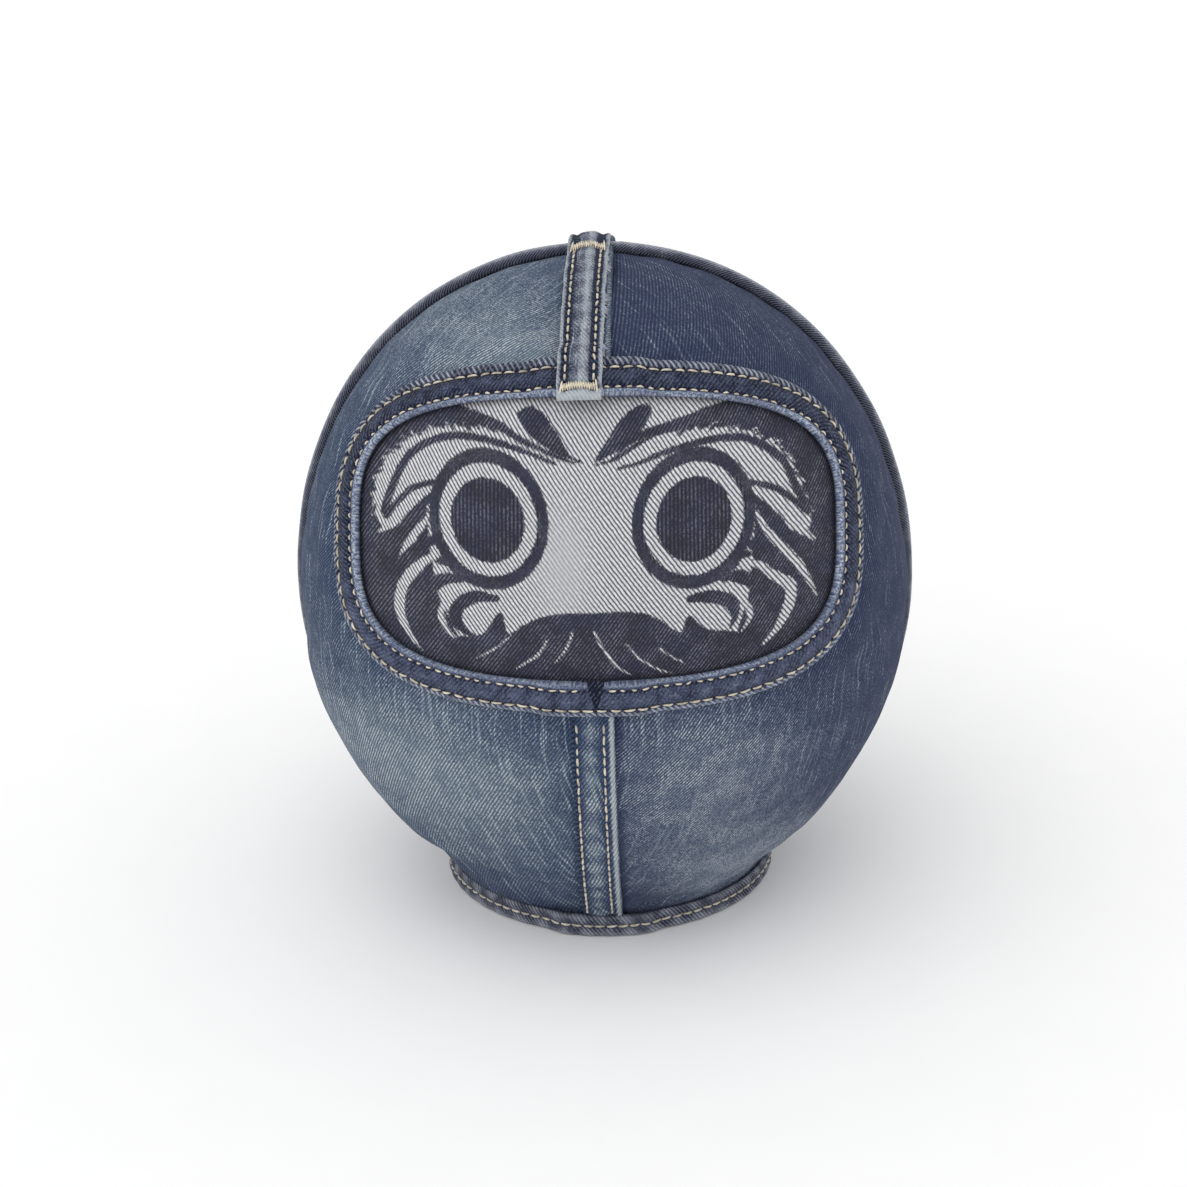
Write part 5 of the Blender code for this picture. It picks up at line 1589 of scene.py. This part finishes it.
def hem_cloth(name):
    """Dark indigo with strong falling light strokes where the folded binding has worn."""
    graph = Graph(name)
    across, along, place = graph.cloth_place()
    line, thread, crossing = twill(graph, across, along, lean=-1.0)
    speck = graph.noise(place, 1.6, 3.0, 0.7)
    patch = graph.noise(place, 0.25, 3.0, 0.6)
    # worn holds the hem's wear and the painted shade at its stitch row, with noise.
    worn = graph.attribute("fade_and_shade") + (patch - 0.5) * 1.6 + (speck - 0.5) * 0.8
    colour = graph.mix(graph.ramp(worn, -0.3, 1.1), linear(44, 48, 67), linear(118, 123, 138))
    stroke = graph.stripes(across + along * 0.75, 1.05, 0.10, 0.26) * graph.ramp(worn, -0.2, 0.9, 0.08, 0.6)
    colour = graph.mix(stroke, colour, linear(186, 188, 194))
    colour = graph.mix(line * graph.ramp(crossing, 0.0, 1.0, 0.03, 0.22), colour, WEFT_WORN)
    height = stroke * 1.3 + line + speck
    # Painted shade in the grooves between the lengthwise threads.
    return graph.finish(graph.shaded(colour, thread * 0.2 + 0.88), height, 0.14, 0.8, 0.9, 0.03)


def disc_points(half, rings, spokes, level_of):
    """Grid from the middle of an oval outwards, at levels given by a function of (share out, angle)."""
    share = np.linspace(0.002, 1.0, rings)[:, None]
    angle = circle(spokes)
    x = half * share * np.sin(angle)
    y = -DEPTH_RATIO * half * share * np.cos(angle)
    return np.stack([x, y, level_of(share, angle) + 0.0 * x], -1)


def build_base_panel(cloth):
    """The cloth that closes the base, and the row that sews it in."""
    low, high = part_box("base_panel")

    def underside(share, angle):
        pull = 0.15 * MM * np.sin(angle * 40.0) * bump_at(share, 0.96, 0.04)
        return low.z + 0.12 * MM * (1.0 - share ** 4) + pull

    bottom = disc_points(high.x, 46, 200, underside)
    top = disc_points(high.x, 46, 200, lambda share, angle: high.z - 0.1 * MM)
    points = np.concatenate([bottom, top[::-1]])
    values = {"across": points[..., 0] / MM, "along": points[..., 1] / MM, "fade_and_shade": -0.1}
    mesh = tube_mesh("base_panel_cloth", points, values)
    dress(mesh, cloth, "denim_hem", "base_panel")
    build_board(high.x)
    low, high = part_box("base_stitch")
    path = neck_point(np.linspace(0.0, 2.0 * math.pi, 800), high.x - NECK_HALF_WIDTH,
                      0.5 * (low.z + high.z) + 0.1 * MM)
    sew("base_stitch", path, 73, np.broadcast_to([0.0, 0.0, -1.0], path.shape))


def build_board(half):
    low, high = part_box("base_board")

    def rounding(share):
        return 0.5 * MM * smooth_step((share - 0.985) / 0.015)

    bottom = disc_points(half, 20, 160, lambda share, angle: low.z + rounding(share))
    top = disc_points(half, 20, 160, lambda share, angle: high.z - rounding(share))
    mesh = tube_mesh("base_board_card", np.concatenate([bottom, top[::-1]]), {})
    card = cotton("grey_board", (150, 143, 130), (120, 112, 98))
    dress(mesh, card, "grey_board", "base_board")


# ---------------------------------------------------------------- filling and weight

HOLLOW_RADIUS = 26.0 * MM
HOLLOW_HEIGHT = 25.0 * MM
PELLET_SPACING = 3.1 * MM
PELLET_LAYER = 2.4 * MM
BAG_CLOTH_MM = 0.6
# Pouch wall as (radius, height) in millimetres, from the middle of its base up to its gathered mouth
BAG_WALL = [(0.1, 0.0), (12, 0.0), (19, 0.2), (23.6, 3.2), (24.4, 8), (20, 13.5), (10, 16.5), (4.6, 18.2),
            (3.9, 19.5), (5.0, 21.5), (7.4, 23.4)]


def around_axis(radius, angle, z):
    """Points at a distance from the doll's upright axis, at an angle round from the front."""
    radius, angle, z = np.broadcast_arrays(radius, angle, z)
    return np.stack([radius * np.sin(angle), -radius * np.cos(angle), z], -1)


def build_filling():
    """Lumpy fibre under the cloth, with a hollow at the bottom for the weight."""
    low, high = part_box("fibre_filling")
    angle = circle(120)
    rise = np.sin(0.5 * math.pi * np.linspace(0.0, 1.0, 90)[:, None])
    levels = low.z + (high.z - low.z) * rise + 0.0 * angle
    above_neck = np.maximum(levels, NECK_Z)
    outer = skin(angle, above_neck)
    outer[..., 2] = levels
    lumps = 0.9 * MM * wave_noise(outer, 16.0 * MM, 81, 3)
    behind_face = smooth_step(-outer[..., 1] / (12.0 * MM) - 0.6)
    behind_face = behind_face * smooth_step((levels - 45.0 * MM) / (10.0 * MM))
    outer[..., 2] = above_neck
    outer = on_skin(outer, -2.8 * MM - 2.0 * MM * behind_face - lumps)
    outer[..., 2] = np.where(levels < NECK_Z, levels, outer[..., 2])
    share = np.linspace(0.0, 1.0, 24)[:, None]
    wall = HOLLOW_RADIUS * np.sqrt(np.clip(1.0 - share ** 3, 0.0004, 1.0))
    hollow = around_axis(wall, angle, low.z + HOLLOW_HEIGHT * share)
    mesh = tube_mesh("filling_fibre", np.concatenate([outer[::-1], hollow]), {})
    fibre = cotton("polyester_fibre", (236, 236, 234), (214, 214, 210))
    dress(mesh, fibre, "polyester_fibre", "fibre_filling")


def gathered_points(profile, base):
    """Rings of the pouch through (radius, height) points, rounded, and gathered towards the neck."""
    radius, z = np.split(smooth_line(profile, steps=6), 2, axis=1)
    gathers = 0.10 * np.clip((z - 8.0) / 10.0, 0.0, 1.0)
    angle = circle(96)
    return around_axis(radius * (1.0 + gathers * np.sin(angle * 17.0)) * MM, angle, (base + z) * MM)


def build_weight():
    """Tied pouch of pellets. Its wall is double, so that the cloth has a thickness."""
    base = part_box("weight_bag")[0].z / MM
    inner = [(max(0.05, radius - BAG_CLOTH_MM), z + (BAG_CLOTH_MM if number < 3 else 0.0))
             for number, (radius, z) in enumerate(BAG_WALL)]
    points = np.concatenate([gathered_points(BAG_WALL, base), gathered_points(inner, base)[::-1]])
    mesh = tube_mesh("weight_bag_muslin", points, {})
    muslin = cotton("cotton_muslin", (206, 196, 172), (180, 168, 142))
    dress(mesh, muslin, "cotton_muslin", "weight_bag")
    build_tie(base)
    build_pellets()


def build_tie(base):
    """Twisted cord wound twice round the pouch's neck."""
    turn = np.linspace(0.0, 4.0 * math.pi, 150)
    path = around_axis(4.75 * MM, turn, (base + 18.9 + 1.1 * turn / turn[-1]) * MM)
    around = circle(CORD_SIDES)
    section = round_section(around, 0.5 * MM * (1.0 + 0.15 * np.cos(3.0 * around - 9.0 * turn[:, None])))
    mesh = swept("bag_tie_twist", path, unit(path * np.array([1.0, 1.0, 0.0])), section, {})
    dress(mesh, cotton("cotton_tie"), "cotton_cord", "bag_tie")


def pellet_places(low, high):
    """Places of pellets in close rows, in layers that grow smaller upwards."""
    layers = int((high.z - low.z) / PELLET_LAYER)
    for layer in range(layers):
        reach = (high.x - 2.0 * MM) * math.sqrt(max(0.05, 1.0 - (layer / layers) ** 2))
        steps = int(reach / PELLET_SPACING) + 1
        for row, column in itertools.product(range(-steps, steps + 1), repeat=2):
            x = (column + 0.5 * (row % 2)) * PELLET_SPACING
            y = row * PELLET_SPACING * 0.87
            if math.hypot(x, y) <= reach:
                yield Vector((x, y, low.z + 1.3 * MM + layer * PELLET_LAYER))


def build_pellets():
    """Heap of small plastic pellets, each a little off its place and a little flattened."""
    random = np.random.default_rng(91)
    shape = bmesh.new()
    for place in pellet_places(*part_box("weight_pellets")):
        place += Vector(random.normal(0.0, 0.12, 3) * MM)
        radius = random.uniform(1.15, 1.35) * MM
        ball = bmesh.ops.create_icosphere(shape, subdivisions=2, radius=radius)
        squeeze = Matrix.Diagonal((1.0, 1.0, random.uniform(0.75, 0.95), 1.0))
        bmesh.ops.transform(shape, matrix=Matrix.Translation(place) @ squeeze, verts=ball["verts"])
    mesh = bpy.data.meshes.new("pellet_heap")
    shape.to_mesh(mesh)
    shape.free()
    mesh.shade_smooth()
    graph = Graph("plastic_pellets")
    place = graph.object_place()
    colour = graph.mix(graph.noise(place, 300.0, 1.0), linear(196, 196, 192), linear(222, 222, 218))
    material = graph.finish(colour, graph.noise(place, 2500.0), bump_mm=0.03, roughness=0.42)
    dress(mesh, material, "plastic_pellets", "weight_pellets")


# ---------------------------------------------------------------- floor, light and camera

CAMERA_DISTANCE = 600.0 * MM
CAMERA_HEIGHT_ANGLE = math.radians(22.0)
CAMERA_TURN = math.radians(1.9)
CAMERA_ROLL = math.radians(-1.3)
CAMERA_AIM_Z = 85.0 * MM
CAMERA_LENS = 67.94
CAMERA_SHIFT = (-0.00885, -0.01432)
FLOOR_REACH = 6.0
SKY_STRENGTH = 0.90
OVERHEAD_STRENGTH = 0.75
OVERHEAD_WAY = (0.45, 0.55, -1.0)


def build_floor():
    graph = Graph("pale_floor")
    grain = graph.noise(graph.object_place(), 60.0, 3.0)
    colour = graph.mix(grain, (0.94, 0.94, 0.94), (0.97, 0.97, 0.97))
    mesh = bpy.data.meshes.new("floor")
    corners = [(-FLOOR_REACH, -FLOOR_REACH, 0.0), (FLOOR_REACH, -FLOOR_REACH, 0.0),
               (FLOOR_REACH, FLOOR_REACH, 0.0), (-FLOOR_REACH, FLOOR_REACH, 0.0)]
    mesh.from_pydata(corners, [], [(0, 1, 2, 3)])
    mesh.materials.append(graph.finish(colour, grain, 0.01, 0.1, 0.8))
    floor = bpy.data.objects.new("floor", mesh)
    floor.location.z = -0.02 * MM
    bpy.context.scene.collection.objects.link(floor)


def build_light():
    """Even daylight from all round, and one broad soft light from above on the left.

    The camera sees the sky as pure white, so the floor has no horizon.
    """
    world = bpy.data.worlds.new("studio")
    world.use_nodes = True
    background = world.node_tree.nodes["Background"]
    background.inputs["Color"].default_value = (1.0, 1.0, 1.0, 1.0)
    seen = world.node_tree.nodes.new("ShaderNodeLightPath")
    strength = world.node_tree.nodes.new("ShaderNodeMath")
    strength.operation = "MULTIPLY_ADD"
    strength.inputs[1].default_value = 1.05 - SKY_STRENGTH
    strength.inputs[2].default_value = SKY_STRENGTH
    world.node_tree.links.new(seen.outputs["Is Camera Ray"], strength.inputs[0])
    world.node_tree.links.new(strength.outputs[0], background.inputs["Strength"])
    bpy.context.scene.world = world
    light = bpy.data.lights.new("overhead", "SUN")
    light.energy = OVERHEAD_STRENGTH
    light.angle = math.radians(70.0)
    lamp = bpy.data.objects.new("overhead", light)
    lamp.rotation_euler = Vector(OVERHEAD_WAY).to_track_quat("-Z", "Y").to_euler()
    bpy.context.scene.collection.objects.link(lamp)
    bpy.context.scene.view_settings.view_transform = "Standard"


def build_camera():
    lens = bpy.data.cameras.new("camera")
    lens.lens = CAMERA_LENS
    lens.shift_x, lens.shift_y = CAMERA_SHIFT
    camera = bpy.data.objects.new("camera", lens)
    level = CAMERA_DISTANCE * math.cos(CAMERA_HEIGHT_ANGLE)
    camera.location = (level * math.sin(CAMERA_TURN), -level * math.cos(CAMERA_TURN),
                       CAMERA_AIM_Z + CAMERA_DISTANCE * math.sin(CAMERA_HEIGHT_ANGLE))
    aim = Vector((0.0, 0.0, CAMERA_AIM_Z)) - camera.location
    turn = aim.to_track_quat("-Z", "Y").to_matrix() @ Matrix.Rotation(CAMERA_ROLL, 3, "Z")
    camera.rotation_euler = turn.to_euler()
    bpy.context.scene.collection.objects.link(camera)
    bpy.context.scene.camera = camera


def main():
    build_panels()
    build_face()
    build_band()
    build_window_rows()
    build_seam_rows()
    build_piping()
    build_belt_loop()
    base_cloth = hem_cloth("denim_hem")
    build_hem(base_cloth)
    build_base_panel(base_cloth)
    build_filling()
    build_weight()
    build_floor()
    build_light()
    build_camera()


main()
